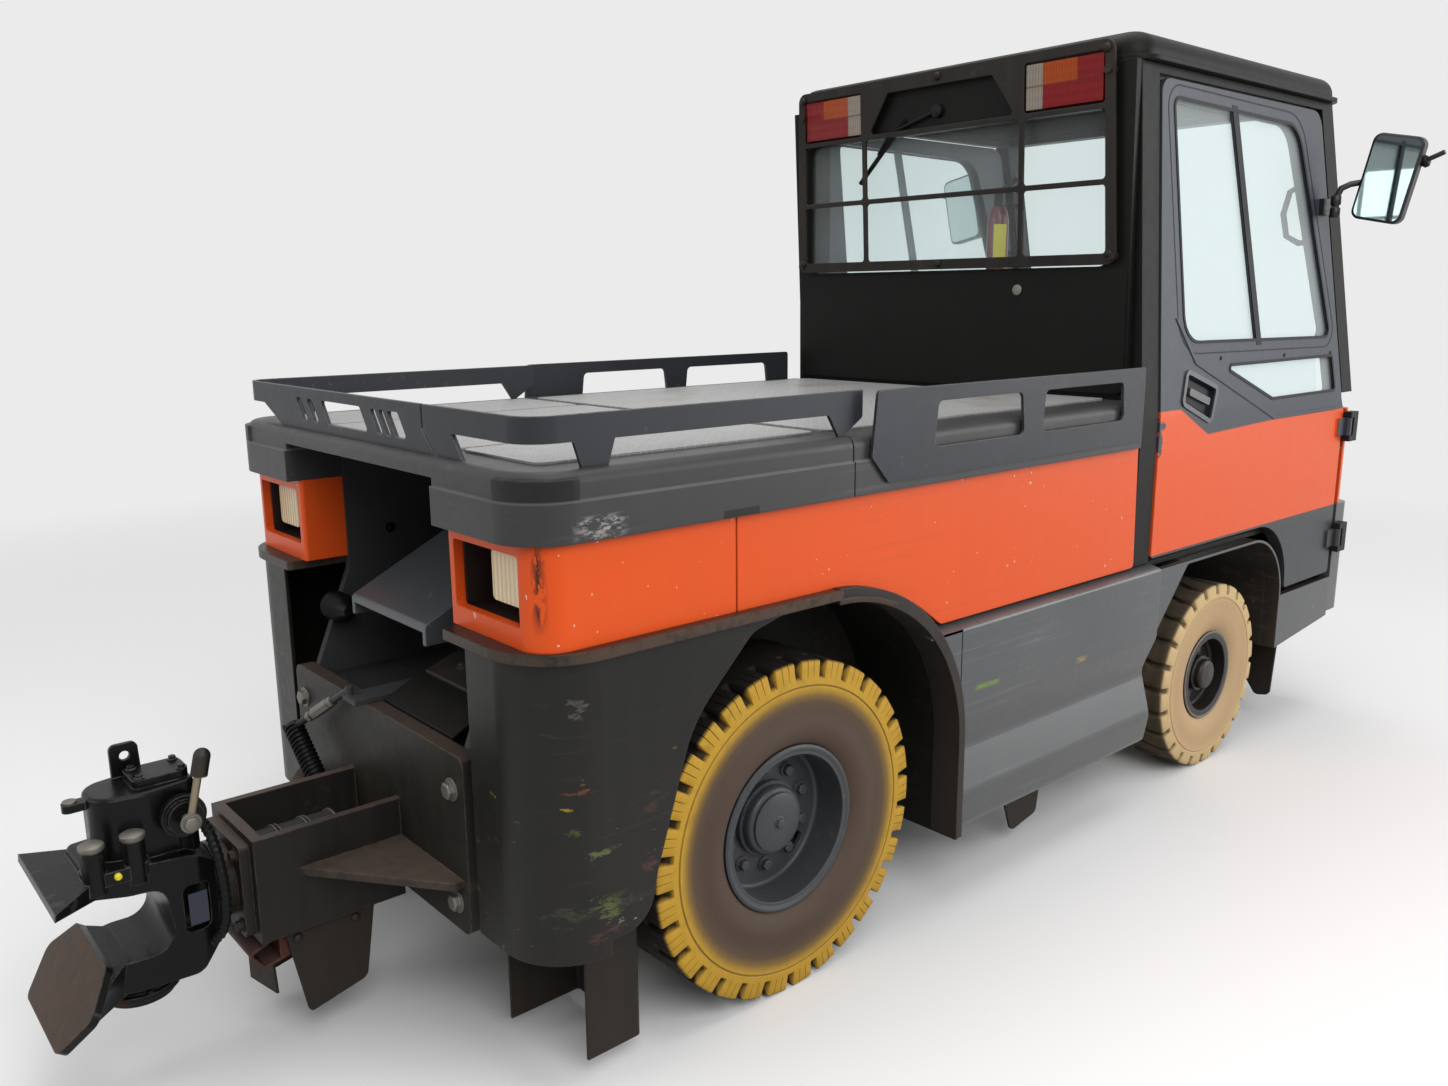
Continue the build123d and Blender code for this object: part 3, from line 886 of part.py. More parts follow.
for name, side in (("left", 1), ("right", -1)):
    keep("door_" + name, door(side))
    keep("door_glass_" + name, pane(side))
    keep("mirror_" + name, mirror_head(side))
EAR = 19.0  # height of each hinge ear on the post
hinges = []
for z0, z1 in HINGES[1:]:
    h = rod((HINGE_X, HINGE_Y, z0 - EAR - AXIAL), (HINGE_X, HINGE_Y, z1 + EAR + AXIAL), PIN_R)
    for z in (z0 - EAR - AXIAL, z1 + AXIAL):
        h += box(HINGE_X - 8, HINGE_X + 50, BODY_HALF, HINGE_Y + SLEEVE_R, z, z + EAR)
    h += box(HINGE_X + 18, HINGE_X + 50, BODY_HALF, HINGE_Y + SLEEVE_R, z0 - EAR - AXIAL, z1 + EAR + AXIAL)
    hinges += both(h)
keep("door_hinges", hinges)

# Inside the cab
SEAT_X, SEAT_IN, SEAT_OUT, SEAT_H = PILLAR_X + 230.0, 20.0, CAB_IN - 120.0, 160.0
SEAT_Z = CAB_FLOOR + SEAT_H
keep("seat_base", both(box(SEAT_X, SEAT_X + 380, SEAT_IN + 40, SEAT_OUT - 50, CAB_FLOOR, SEAT_Z)))
cushion = along_y(outline([(SEAT_X - 60, SEAT_Z, 0), (SEAT_X + 420, SEAT_Z, 40),
                           (SEAT_X + 430, SEAT_Z + 120, 50),
                           (SEAT_X + 70, SEAT_Z + 100, 30), (SEAT_X + 10, SEAT_Z + 610, 40),
                           (SEAT_X - 100, SEAT_Z + 610, 40)]), SEAT_IN, SEAT_OUT)
keep("seats", both(cushion))
DASH_X, DASH_Z = A_FOOT - 135.0, WIND_Z - 270.0
WHEEL_Y, COLUMN_R, GRIP_R = CAB_IN / 2 - 45, 24.0, 170.0
COLUMN_LOW, COLUMN_TOP = (DASH_X + 20, WHEEL_Y, DASH_Z + 100), (DASH_X - 240, WHEEL_Y, DASH_Z + 310)
dash = along_y(outline([(DASH_X, DASH_Z, 30), (A_FOOT + 30, DASH_Z, 0), (A_FOOT + 30, WIND_Z - 5, 0),
                        (DASH_X + 30, WIND_Z - 30, 60)]), -CAB_IN + 10, CAB_IN - 10)
keep("dashboard", dash - rod(COLUMN_LOW, COLUMN_TOP, COLUMN_R))
column = rod(COLUMN_LOW, COLUMN_TOP, COLUMN_R)
wheel_plane = Plane(origin=COLUMN_TOP, z_dir=Vector(*COLUMN_TOP) - Vector(*COLUMN_LOW))
column += wheel_plane * Torus(GRIP_R, 15)
column += wheel_plane * Pos(0, 0, -12) * Cylinder(40, 40)
for a in (0, 120, 240):
    column += wheel_plane * Rot(0, 0, a) * Pos(GRIP_R / 2 + 5, 0, -6) * Box(GRIP_R - 5, 30, 10)
keep("steering_wheel", column)

os.makedirs("parts", exist_ok=True)
for node, shape in NODES.items():
    export_step(shape, "parts/" + node + ".step")
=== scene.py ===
import math

import bmesh
import bpy
from mathutils import Matrix, Vector


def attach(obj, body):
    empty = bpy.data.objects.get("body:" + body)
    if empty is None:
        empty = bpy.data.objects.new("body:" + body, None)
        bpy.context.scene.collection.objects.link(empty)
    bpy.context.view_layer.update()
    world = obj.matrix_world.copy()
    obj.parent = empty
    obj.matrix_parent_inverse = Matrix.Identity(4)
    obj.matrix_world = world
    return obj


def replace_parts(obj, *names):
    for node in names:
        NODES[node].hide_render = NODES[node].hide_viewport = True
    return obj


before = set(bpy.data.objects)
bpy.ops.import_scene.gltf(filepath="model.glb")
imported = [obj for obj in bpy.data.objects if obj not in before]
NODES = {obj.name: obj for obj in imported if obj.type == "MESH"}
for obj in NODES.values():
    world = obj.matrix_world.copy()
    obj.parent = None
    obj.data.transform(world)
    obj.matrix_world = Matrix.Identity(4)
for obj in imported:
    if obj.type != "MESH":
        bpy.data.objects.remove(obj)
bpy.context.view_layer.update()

# Metres. Stations along the tractor run forward from the rear faces of the lamp towers
X_MID = 1.3275
BODY_HALF, BELT_Z = 0.650, 1.150
CAB_REAR, CAB_LEAN, TUMBLE = 1.866, 0.05, math.radians(2.4)
DOOR_REAR = 1.982
TOW_Z, HEAD_FRONT = 0.360, -0.366
REAR_X, REAR_Y, REAR_R = 0.623, 0.515, 0.370
FRONT_X, FRONT_Y, FRONT_R = 2.478, 0.529, 0.294


def at(x, y, z):
    """Point at a station."""
    return Vector((x - X_MID, y, z))


def on_head(u, y, v):
    """Point on the coupling: to the rear of its swivel face, across, above the swivel axis."""
    return at(HEAD_FRONT - u, y, TOW_Z + v)


def cab_rear(z, off=0.0):
    """Station on the leaning rear face of the cab, moved to the rear by off."""
    return CAB_REAR - CAB_LEAN * max(z - BELT_Z, 0.0) - off


def cab_side(z, off=0.0):
    """Distance of the cab's leaning side from the middle."""
    return BODY_HALF - math.tan(TUMBLE) * max(z - BELT_Z, 0.0) + off


def scaled(color, factor):
    """Lighter or darker colour."""
    return tuple(min(1.0, c * factor) for c in color)


# Shader node helpers
BUMP_DEPTH = 0.002  # height of the finest relief
SHINE = 0.6  # share of the usual mirror part that weathered surfaces keep


class Graph:
    """Short way to add and join shader nodes in one tree."""

    def __init__(self, tree):
        self.tree = tree

    def add(self, kind, inputs=None, **values):
        """New node with its properties and with values or links for its inputs."""
        node = self.tree.nodes.new(kind)
        for key, value in values.items():
            setattr(node, key, value)
        self.fill(node, inputs or {})
        return node

    def fill(self, node, inputs):
        for key, value in inputs.items():
            self.put(node.inputs[key], value)

    def put(self, socket, value):
        if isinstance(value, bpy.types.NodeSocket):
            self.tree.links.new(value, socket)
            return
        if isinstance(value, (tuple, list)) and len(value) == 3 and len(socket.default_value) == 4:
            value = (*value, 1.0)
        socket.default_value = value

    def math(self, op, a, b=0.0, c=0.0, clamp=False):
        return self.add("ShaderNodeMath", {0: a, 1: b, 2: c}, operation=op, use_clamp=clamp).outputs[0]

    def both(self, *masks, clamp=False):
        """Product of masks."""
        product = masks[0]
        for mask in masks[1:]:
            product = self.math("MULTIPLY", product, mask, clamp=clamp)
        return product

    def mad(self, value, factor, plus, clamp=False):
        """Value times a factor, plus another value."""
        return self.math("MULTIPLY_ADD", value, factor, plus, clamp)

    def ramp(self, value, low, high, start=0.0, end=1.0):
        """start below low, end above high, linear between."""
        ends = {"Value": value, "From Min": low, "From Max": high, "To Min": start, "To Max": end}
        return self.add("ShaderNodeMapRange", ends, clamp=True).outputs["Result"]

    def inside(self, value, low, high, soft=0.002):
        """1 where value lies between low and high."""
        up = self.ramp(value, low - soft, low + soft)
        return self.both(up, self.ramp(value, high - soft, high + soft, 1.0, 0.0))

    def mix(self, factor, a, b):
        return self.add("ShaderNodeMix", {0: factor, 6: a, 7: b}, data_type="RGBA").outputs[2]

    def blend(self, share, a, b):
        """Shader between two others."""
        return self.add("ShaderNodeMixShader", {0: share, 1: a, 2: b}).outputs[0]

    def noise(self, vector, scale, detail=3.0, rough=0.55):
        ends = {"Vector": vector, "Scale": scale, "Detail": detail, "Roughness": rough}
        return self.add("ShaderNodeTexNoise", ends).outputs["Fac"]

    def streaks(self, vector, scale, detail, rough, turn=(0.0, 0.0, 0.0)):
        """Noise that is stretched and turned."""
        ends = {"Vector": vector, "Scale": scale, "Rotation": turn}
        return self.noise(self.add("ShaderNodeMapping", ends).outputs[0], 1.0, detail, rough)

    def bump(self, height, strength, normal):
        ends = {"Strength": strength, "Distance": BUMP_DEPTH, "Height": height, "Normal": normal}
        return self.add("ShaderNodeBump", ends).outputs[0]

    def split(self, vector):
        return self.add("ShaderNodeSeparateXYZ", {0: vector}).outputs

    def place(self):
        """Object coordinates and their three parts."""
        where = self.add("ShaderNodeTexCoord").outputs["Object"]
        return where, *self.split(where)

    def marks(self):
        """Object coordinates, station, distance across and height."""
        where, x, y, z = self.place()
        return where, self.math("ADD", x, X_MID), y, z

    def facing(self):
        """The three parts of the normal."""
        return self.split(self.add("ShaderNodeTexCoord").outputs["Normal"])

    def seen(self):
        """One where a surface is looked at, directly, in a reflection or through glass."""
        path = self.add("ShaderNodeLightPath").outputs
        direct = self.math("ADD", path["Is Camera Ray"], path["Is Glossy Ray"], clamp=True)
        return self.math("ADD", direct, path["Is Transmission Ray"], clamp=True)


def new_group(name, inputs, outputs):
    """Node group with float inputs, its graph and the sockets of its two end nodes."""
    group = bpy.data.node_groups.new(name, "ShaderNodeTree")
    for key, default in inputs:
        group.interface.new_socket(key, in_out="INPUT", socket_type="NodeSocketFloat").default_value = default
    for key, kind in outputs:
        group.interface.new_socket(key, in_out="OUTPUT", socket_type="NodeSocket" + kind)
    g = Graph(group)
    return group, g, g.add("NodeGroupInput").outputs, g.add("NodeGroupOutput").inputs


def make_wear():
    """Masks in object space: chips, worn edges, dirt, variation, scuffs and the softened normal."""
    floats = ("Chip", "Edge", "Dirt", "Broad", "Fine", "Scuff", "Line")
    group, g, inp, out = new_group(
        "surface_wear",
        (("Chips", 0.5), ("Edges", 0.5), ("Dirt", 0.5), ("Bump", 0.1), ("Radius", 0.004)),
        [(key, "Float") for key in floats] + [("Normal", "Vector")],
    )
    where, x, y, z = g.place()
    broad = g.noise(where, 2.6, 4.0)
    fine = g.noise(where, 38.0, 4.0, 0.65)
    grit = g.noise(where, 150.0, 2.0, 0.7)
    streak = g.streaks(where, (22.0, 22.0, 1.6), 4.0, 0.6)
    drag = g.streaks(where, (2.2, 14.0, 60.0), 3.0, 0.6)
    line = g.streaks(where, (3.0, 3.0, 160.0), 2.0, 0.5, (0.0, 0.35, 0.0))
    bevel = g.add("ShaderNodeBevel", {"Radius": inp["Radius"]}, samples=4).outputs[0]
    normals = {0: bevel, 1: g.add("ShaderNodeNewGeometry").outputs["Normal"]}
    flat = g.add("ShaderNodeVectorMath", normals, operation="DOT_PRODUCT").outputs["Value"]
    sharp = g.ramp(g.math("SUBTRACT", 1.0, flat), 0.02, 0.16)
    patchy = g.ramp(g.mad(broad, 0.6, fine), 0.62, 0.84)
    spots = g.ramp(g.math("ADD", g.both(fine, 0.75), g.both(broad, 0.45)), 0.74, 0.765)
    low = g.both(g.ramp(z, 0.75, 0.05), 0.45)
    dust = g.ramp(g.math("ADD", g.mad(broad, 0.7, streak), low), 0.68, 1.35)
    for key, value in (
        ("Edge", g.both(sharp, patchy, inp["Edges"], clamp=True)),
        ("Chip", g.both(spots, inp["Chips"], clamp=True)),
        ("Dirt", g.both(dust, inp["Dirt"], clamp=True)),
        ("Broad", broad),
        ("Fine", fine),
        ("Scuff", g.ramp(g.mad(broad, 0.35, drag), 0.78, 0.9)),
        ("Line", g.ramp(g.mad(broad, 0.3, line), 0.84, 0.9)),
        ("Normal", g.bump(g.mad(grit, 0.5, fine), inp["Bump"], bevel)),
    ):
        g.put(out[key], value)
    return group


def make_chequer():
    """Height of a chequer plate: small raised lozenges, turned in turn."""
    group, g, inp, out = new_group("chequer_plate", (("Pitch", 0.026),), (("Height", "Float"),))
    where, x, y, z = g.place()
    u, v = [g.math("DIVIDE", g.math(op, x, y), inp["Pitch"]) for op in ("ADD", "SUBTRACT")]
    odd = g.math("FLOORED_MODULO", g.math("ADD", g.math("FLOOR", u), g.math("FLOOR", v)), 2.0)
    a, b = [g.math("SUBTRACT", g.math("FRACT", t), 0.5) for t in (u, v)]
    swap = g.both(odd, g.math("SUBTRACT", b, a))
    along = g.math("DIVIDE", g.math("ADD", a, swap), 0.46)
    across = g.math("DIVIDE", g.math("SUBTRACT", b, swap), 0.15)
    g.put(out["Height"], g.ramp(g.mad(along, along, g.both(across, across)), 1.0, 0.4))
    return group


WEAR, CHEQUER = make_wear(), make_chequer()


def start(name):
    """New material with its graph, its principled shader and its end socket."""
    mat = bpy.data.materials.new(name)
    mat.use_nodes = True
    mat.node_tree.nodes.clear()
    g = Graph(mat.node_tree)
    shader = g.add("ShaderNodeBsdfPrincipled")
    return mat, g, shader, g.add("ShaderNodeOutputMaterial", {0: shader.outputs[0]}).inputs[0]


def worn(name, color, rough=0.45, metal=0.0, chip=(0.5, 0.48, 0.45), chips=0.0, edge=(0.35, 0.34, 0.33),
         edges=0.6, dirt=(0.12, 0.1, 0.075), dirts=0.5, bump=0.08, radius=0.004, vary=0.2, coat=0.0,
         scuff=(0.1, 0.1, 0.1), scuffs=0.0, lines=0.0, spec=0.5, recolor=None, relief=None):
    """Paint, rubber or metal with chips, worn edges, dirt and scuffs.

    recolor may change the base colour, relief the normal.
    """
    mat, g, shader, end = start(name)
    levels = {"Chips": chips, "Edges": edges, "Dirt": dirts, "Bump": bump, "Radius": radius}
    o = g.add("ShaderNodeGroup", levels, node_tree=WEAR).outputs
    base = g.mix(o["Broad"], scaled(color, 1 - vary), scaled(color, 1 + vary))
    if recolor:
        base = recolor(g, base, o)
    for key, share in (("Scuff", scuffs), ("Line", lines)):
        if share:
            base = g.mix(g.both(o[key], share), base, scuff)
    for key, tone in (("Dirt", dirt), ("Chip", chip), ("Edge", edge)):
        base = g.mix(o[key], base, tone)
    spread = g.mad(o["Fine"], 0.22, rough - 0.11)
    g.fill(shader, {
        "Base Color": base, "Roughness": g.mad(o["Dirt"], 0.35, spread, True), "Metallic": metal,
        "Specular IOR Level": spec * SHINE, "Coat Weight": coat, "Coat Roughness": 0.2,
        "Normal": relief(g, o["Normal"]) if relief else o["Normal"],
    })
    return mat


def plain(name, color, rough=0.5, metal=0.0, spec=0.5):
    """Uniform material."""
    mat, g, shader, end = start(name)
    g.fill(shader, {"Base Color": color, "Roughness": rough, "Metallic": metal, "Specular IOR Level": spec})
    return mat


def glass(name, tint, haze):
    """Thin pane: clear, with a pale haze and a mirror part that grows at low angles."""
    mat, g, shader, end = start(name)
    g.fill(shader, {"Base Color": tint, "Roughness": 0.03})
    clear = g.add("ShaderNodeBsdfTransparent", {0: tint}).outputs[0]
    pale = g.add("ShaderNodeBsdfDiffuse", {0: tint}).outputs[0]
    side = g.add("ShaderNodeLayerWeight", {"Blend": 0.2}).outputs["Facing"]
    g.put(end, g.blend(g.mad(side, 0.18, 0.02), g.blend(haze, clear, pale), shader.outputs[0]))
    return mat


# Colours that change over a piece, in object space
ORANGE = (0.74, 0.088, 0.011)
SLATE = (0.066, 0.071, 0.076)
RUST = (0.06, 0.03, 0.018)


def door_bands(g, base, o):
    """Painted band on the outside of the doors, chipped at its rear corner, and darker slate below it."""
    where, station, y, z = g.marks()
    top = g.math("ADD", g.ramp(station, 2.09, 2.256, 1.163, 1.081), g.ramp(station, 2.256, 2.68, 0.0, 0.012))
    under = g.ramp(g.math("SUBTRACT", z, top), -0.002, 0.002, 1.0, 0.0)
    outer = g.inside(g.math("ABSOLUTE", y), 0.642, 0.6555, 0.001)
    corner = g.both(g.ramp(station, 2.035, 1.985), g.inside(z, 1.05, 1.15, 0.03))
    whole = g.ramp(g.mad(corner, 0.45, o["Fine"]), 0.78, 0.8, 1.0, 0.0)
    low = g.ramp(z, 0.758, 0.762, 1.0, 0.0)
    band = g.both(under, g.ramp(z, 0.76, 0.764), outer, whole)
    return g.mix(band, g.mix(low, base, scaled(SLATE, 0.6)), ORANGE)


# Old scrapes on the right rear corner: station, height, half length, half height, colour
SCRAPES = (
    (0.065, 0.79, 0.018, 0.028, (0.09, 0.082, 0.08)), (0.06, 0.633, 0.042, 0.006, (0.15, 0.05, 0.03)),
    (0.045, 0.603, 0.013, 0.008, (0.4, 0.25, 0.02)), (0.056, 0.56, 0.026, 0.009, (0.06, 0.09, 0.015)),
    (0.105, 0.51, 0.038, 0.007, (0.13, 0.15, 0.06)), (0.205, 0.45, 0.026, 0.02, (0.08, 0.035, 0.027)),
    (0.217, 0.574, 0.045, 0.028, (0.045, 0.024, 0.016)), (0.123, 0.402, 0.042, 0.03, (0.1, 0.12, 0.035)),
    (0.045, 0.397, 0.045, 0.024, (0.035, 0.045, 0.025)), (0.11, 0.347, 0.045, 0.016, (0.07, 0.03, 0.024)),
    (0.16, 0.43, 0.05, 0.04, (0.012, 0.011, 0.01)),
)


def fender_marks(g, base, o):
    """Rusty lips and, low on the corner, old marks in several colours."""
    where, station, y, z = g.marks()
    lip = g.both(g.ramp(g.math("ABSOLUTE", y), 0.6645, 0.6665), g.ramp(o["Fine"], 0.25, 0.5), 0.75)
    base = g.mix(lip, base, RUST)
    ledge = g.both(g.inside(z, 0.868, 0.889), g.ramp(o["Fine"], 0.3, 0.55), 0.6)
    base = g.mix(ledge, base, (0.075, 0.05, 0.035))
    low = g.both(g.ramp(z, 0.75, 0.42), g.ramp(station, 0.3775, 0.2775), 0.9)
    for scale, turn, tone in ((23.0, 0.3, (0.3, 0.2, 0.02)), (26.0, 1.4, (0.07, 0.13, 0.03)),
                              (21.0, 2.2, (0.13, 0.05, 0.03)), (29.0, 0.9, (0.2, 0.19, 0.17))):
        spot = g.streaks(where, (scale / 2, scale / 2, scale), 5.0, 0.7, (turn, turn, 0.0))
        base = g.mix(g.both(g.ramp(spot, 0.675, 0.695), low), base, tone)
    drag = g.both(g.streaks(where, (34.0, 34.0, 95.0), 6.0, 0.75, (0.0, 0.4, 0.0)), 9.0)
    right = g.ramp(y, -0.5, -0.52)
    for x0, z0, long, high, tone in SCRAPES:
        u = g.mad(station, 1 / long, -x0 / long)
        v = g.mad(z, 1 / high, -z0 / high)
        far = g.math("ADD", drag, g.mad(u, u, g.both(v, v)))
        base = g.mix(g.both(g.ramp(far, 4.9, 4.4, 0.0, 0.75), right), base, tone)
    return base


def tow_marks(g, base, o):
    """Red-oxide bracket below the tow box, brown gussets, dark cross plate and worn tops."""
    where, station, y, z = g.marks()
    bracket = g.both(g.ramp(z, 0.252, 0.256, 1.0, 0.0), g.ramp(station, -0.22, -0.225))
    base = g.mix(bracket, base, (0.06, 0.016, 0.012))
    gusset = g.both(g.inside(z, 0.370, 0.390), g.ramp(g.math("ABSOLUTE", y), 0.119, 0.122),
                    g.ramp(o["Fine"], 0.2, 0.6))
    base = g.mix(gusset, base, (0.05, 0.038, 0.03))
    plate = g.both(g.ramp(station, -0.03, -0.026), g.ramp(o["Broad"], 0.35, 0.65, 0.3, 1.0))
    base = g.mix(plate, base, (0.016, 0.015, 0.011))
    tops = g.both(g.ramp(g.facing()[2], 0.6, 0.8), g.ramp(o["Broad"], 0.3, 0.7, 0.35, 0.85))
    return g.mix(tops, base, (0.085, 0.06, 0.05))


def orange_marks(g, base, o):
    """A few pale specks on the side panels and a long dark scrape on the right corner."""
    where, station, y, z = g.marks()
    speck = g.ramp(g.noise(where, 75.0, 1.0, 0.4), 0.775, 0.79, 0.0, 0.7)
    base = g.mix(speck, base, (0.75, 0.6, 0.5))
    rough = g.streaks(where, (60.0, 60.0, 22.0), 4.0, 0.7)
    scrape = g.both(g.inside(z, 0.94, 1.07, 0.02), g.inside(y, -0.634, -0.622, 0.006),
                    g.ramp(station, 0.0775, 0.0675), g.ramp(rough, 0.46, 0.52))
    return g.mix(scrape, base, (0.03, 0.012, 0.008))


def sill_marks(g, base, o):
    """Painted highlight along the upper edge, and two old coloured scrapes."""
    where, station, y, z = g.marks()
    # Painted highlight: a pale line along the sill's upper edge, patchy along its length
    top = g.both(g.inside(z, 0.722, 0.731, 0.003), g.ramp(o["Broad"], 0.4, 0.6, 0.15, 0.5),
                 g.inside(station, 1.0, 2.1))
    base = g.mix(top, base, (0.22, 0.22, 0.215))
    drag = g.ramp(g.streaks(where, (16.0, 16.0, 120.0), 4.0, 0.7, (0.0, 0.2, 0.0)), 0.45, 0.6)
    right = g.ramp(y, -0.6, -0.62)
    for x0, x1, z0, z1, tone in ((1.17, 1.26, 0.566, 0.578, (0.13, 0.25, 0.03)),
                                 (1.59, 1.64, 0.542, 0.553, (0.32, 0.22, 0.05))):
        spot = g.both(g.inside(station, x0, x1, 0.01), g.inside(z, z0, z1, 0.004), drag, right)
        base = g.mix(spot, base, tone)
    return base


def arch_sides(g, base, o):
    """Front arches: painted outside, brown on the lips and inside."""
    out = g.math("ABSOLUTE", g.place()[2])
    brown = g.math("MAXIMUM", g.inside(out, 0.6, 0.6495, 0.0005), g.ramp(out, 0.6, 0.598))
    return g.mix(brown, sill_marks(g, base, o), (0.022, 0.018, 0.016))


def cover_marks(g, base, o):
    """Black corner buffers, a painted highlight along the step, one pale scrape on the right and a dark gap
    at the panel joint.
    """
    where, station, y, z = g.marks()
    out = g.math("ABSOLUTE", y)
    corner = g.both(g.ramp(station, 0.081, 0.0795), g.ramp(out, 0.565, 0.5665),
                    g.inside(z, 1.151, 1.19, 0.001))
    base = g.mix(corner, base, (0.004, 0.004, 0.0045))
    # Painted highlight: a pale line along the edge of the step, patchy along its length
    painted_step_highlight = g.both(g.inside(z, 1.1475, 1.152, 0.001), g.ramp(o["Broad"], 0.3, 0.7, 0.25, 0.8))
    base = g.mix(painted_step_highlight, base, (0.16, 0.16, 0.16))
    rough = g.streaks(where, (30.0, 30.0, 70.0), 5.0, 0.7, (0.0, 0.5, 0.0))
    scrape = g.both(g.inside(station, 0.075, 0.165, 0.015), g.inside(z, 1.083, 1.118, 0.006),
                    g.ramp(y, -0.6, -0.62), g.ramp(rough, 0.48, 0.56))
    base = g.mix(scrape, base, (0.3, 0.29, 0.28))
    gap = g.both(g.ramp(z, 1.0935, 1.0925), g.inside(station, 0.395, 0.485, 0.0008),
                 g.ramp(out, 0.66, 0.662))
    return g.mix(gap, base, (0.002, 0.002, 0.002))


def recess_sides(g, base, o):
    """Lighter paint on the walls of the recess between the towers."""
    where, station, y, z = g.marks()
    inner = g.both(g.ramp(g.math("ABSOLUTE", y), 0.366, 0.364), g.ramp(z, 0.6, 0.62),
                   g.ramp(station, 0.62, 0.6))
    return g.mix(inner, base, (0.04, 0.042, 0.046))


def lever_grip(g, base, o):
    """Black grip on the bare lever."""
    return g.mix(g.ramp(g.place()[3], 0.631, 0.633), base, (0.012, 0.012, 0.013))


def lip_face(g, base, o):
    """Brown bare face of the lower lip."""
    where, station, y, z = g.marks()
    face = g.both(g.ramp(station, -0.53, -0.54), g.ramp(z, 0.335, 0.325), g.ramp(g.facing()[0], -0.45, -0.6))
    rust = g.mix(g.ramp(o["Fine"], 0.35, 0.65), (0.022, 0.009, 0.002), (0.055, 0.022, 0.004))
    return g.mix(face, base, g.mix(g.ramp(o["Broad"], 0.45, 0.6), rust, (0.03, 0.012, 0.0025)))


def tail_zones(g, base, o):
    """Clear inner strip, amber upper middle and red elsewhere, with dark lines between."""
    where, x, y, z = g.place()
    out = g.math("ABSOLUTE", y)
    base = g.mix(g.both(g.inside(out, 0.352, 0.455), g.ramp(z, 2.018, 2.022)), base, (0.34, 0.05, 0.003))
    base = g.mix(g.ramp(out, 0.349, 0.352, 1.0, 0.0), base, (0.26, 0.22, 0.18))
    across, upright = g.inside(z, 2.0175, 2.0225, 0.0008), g.inside(out, 0.4535, 0.4565, 0.0008)
    return g.mix(g.both(g.math("ADD", across, upright, clamp=True), 0.6), base, (0.1, 0.01, 0.005))


def ribs(period):
    """Fine upright flutes of a lamp lens."""
    def relief(g, normal):
        where, x, y, z = g.place()
        wave = g.math("SINE", g.both(y, math.tau / period))
        cross = g.math("SINE", g.both(z, math.tau / (period * 2.6)))
        return g.bump(g.mad(cross, 0.4, wave), 0.4, normal)
    return relief


def plate_relief(g, normal):
    """Chequer pattern on the deck plates."""
    return g.bump(g.add("ShaderNodeGroup", node_tree=CHEQUER).outputs[0], 0.9, normal)


def plate_tone(g, base, o):
    """Brighter worn lozenges and brown plate edges."""
    height = g.add("ShaderNodeGroup", node_tree=CHEQUER).outputs[0]
    base = g.mix(g.both(height, 0.5), base, (0.52, 0.51, 0.5))
    return g.mix(g.ramp(o["Broad"], 0.58, 0.75), base, (0.2, 0.165, 0.13))


def tyre_tone(shoulder, wall, tread):
    """Colours of a tyre from its painted masks: shoulders, side wall and tread."""
    def recolor(g, base, o):
        paint, side = [g.add("ShaderNodeAttribute", attribute_name=key).outputs["Fac"]
                       for key in ("paint", "wall")]
        base = g.mix(side, tread, g.mix(o["Broad"], scaled(wall, 0.75), scaled(wall, 1.2)))
        return g.mix(g.both(paint, g.ramp(o["Fine"], 0.2, 0.5, 0.72, 1.0)), base, shoulder)
    return recolor


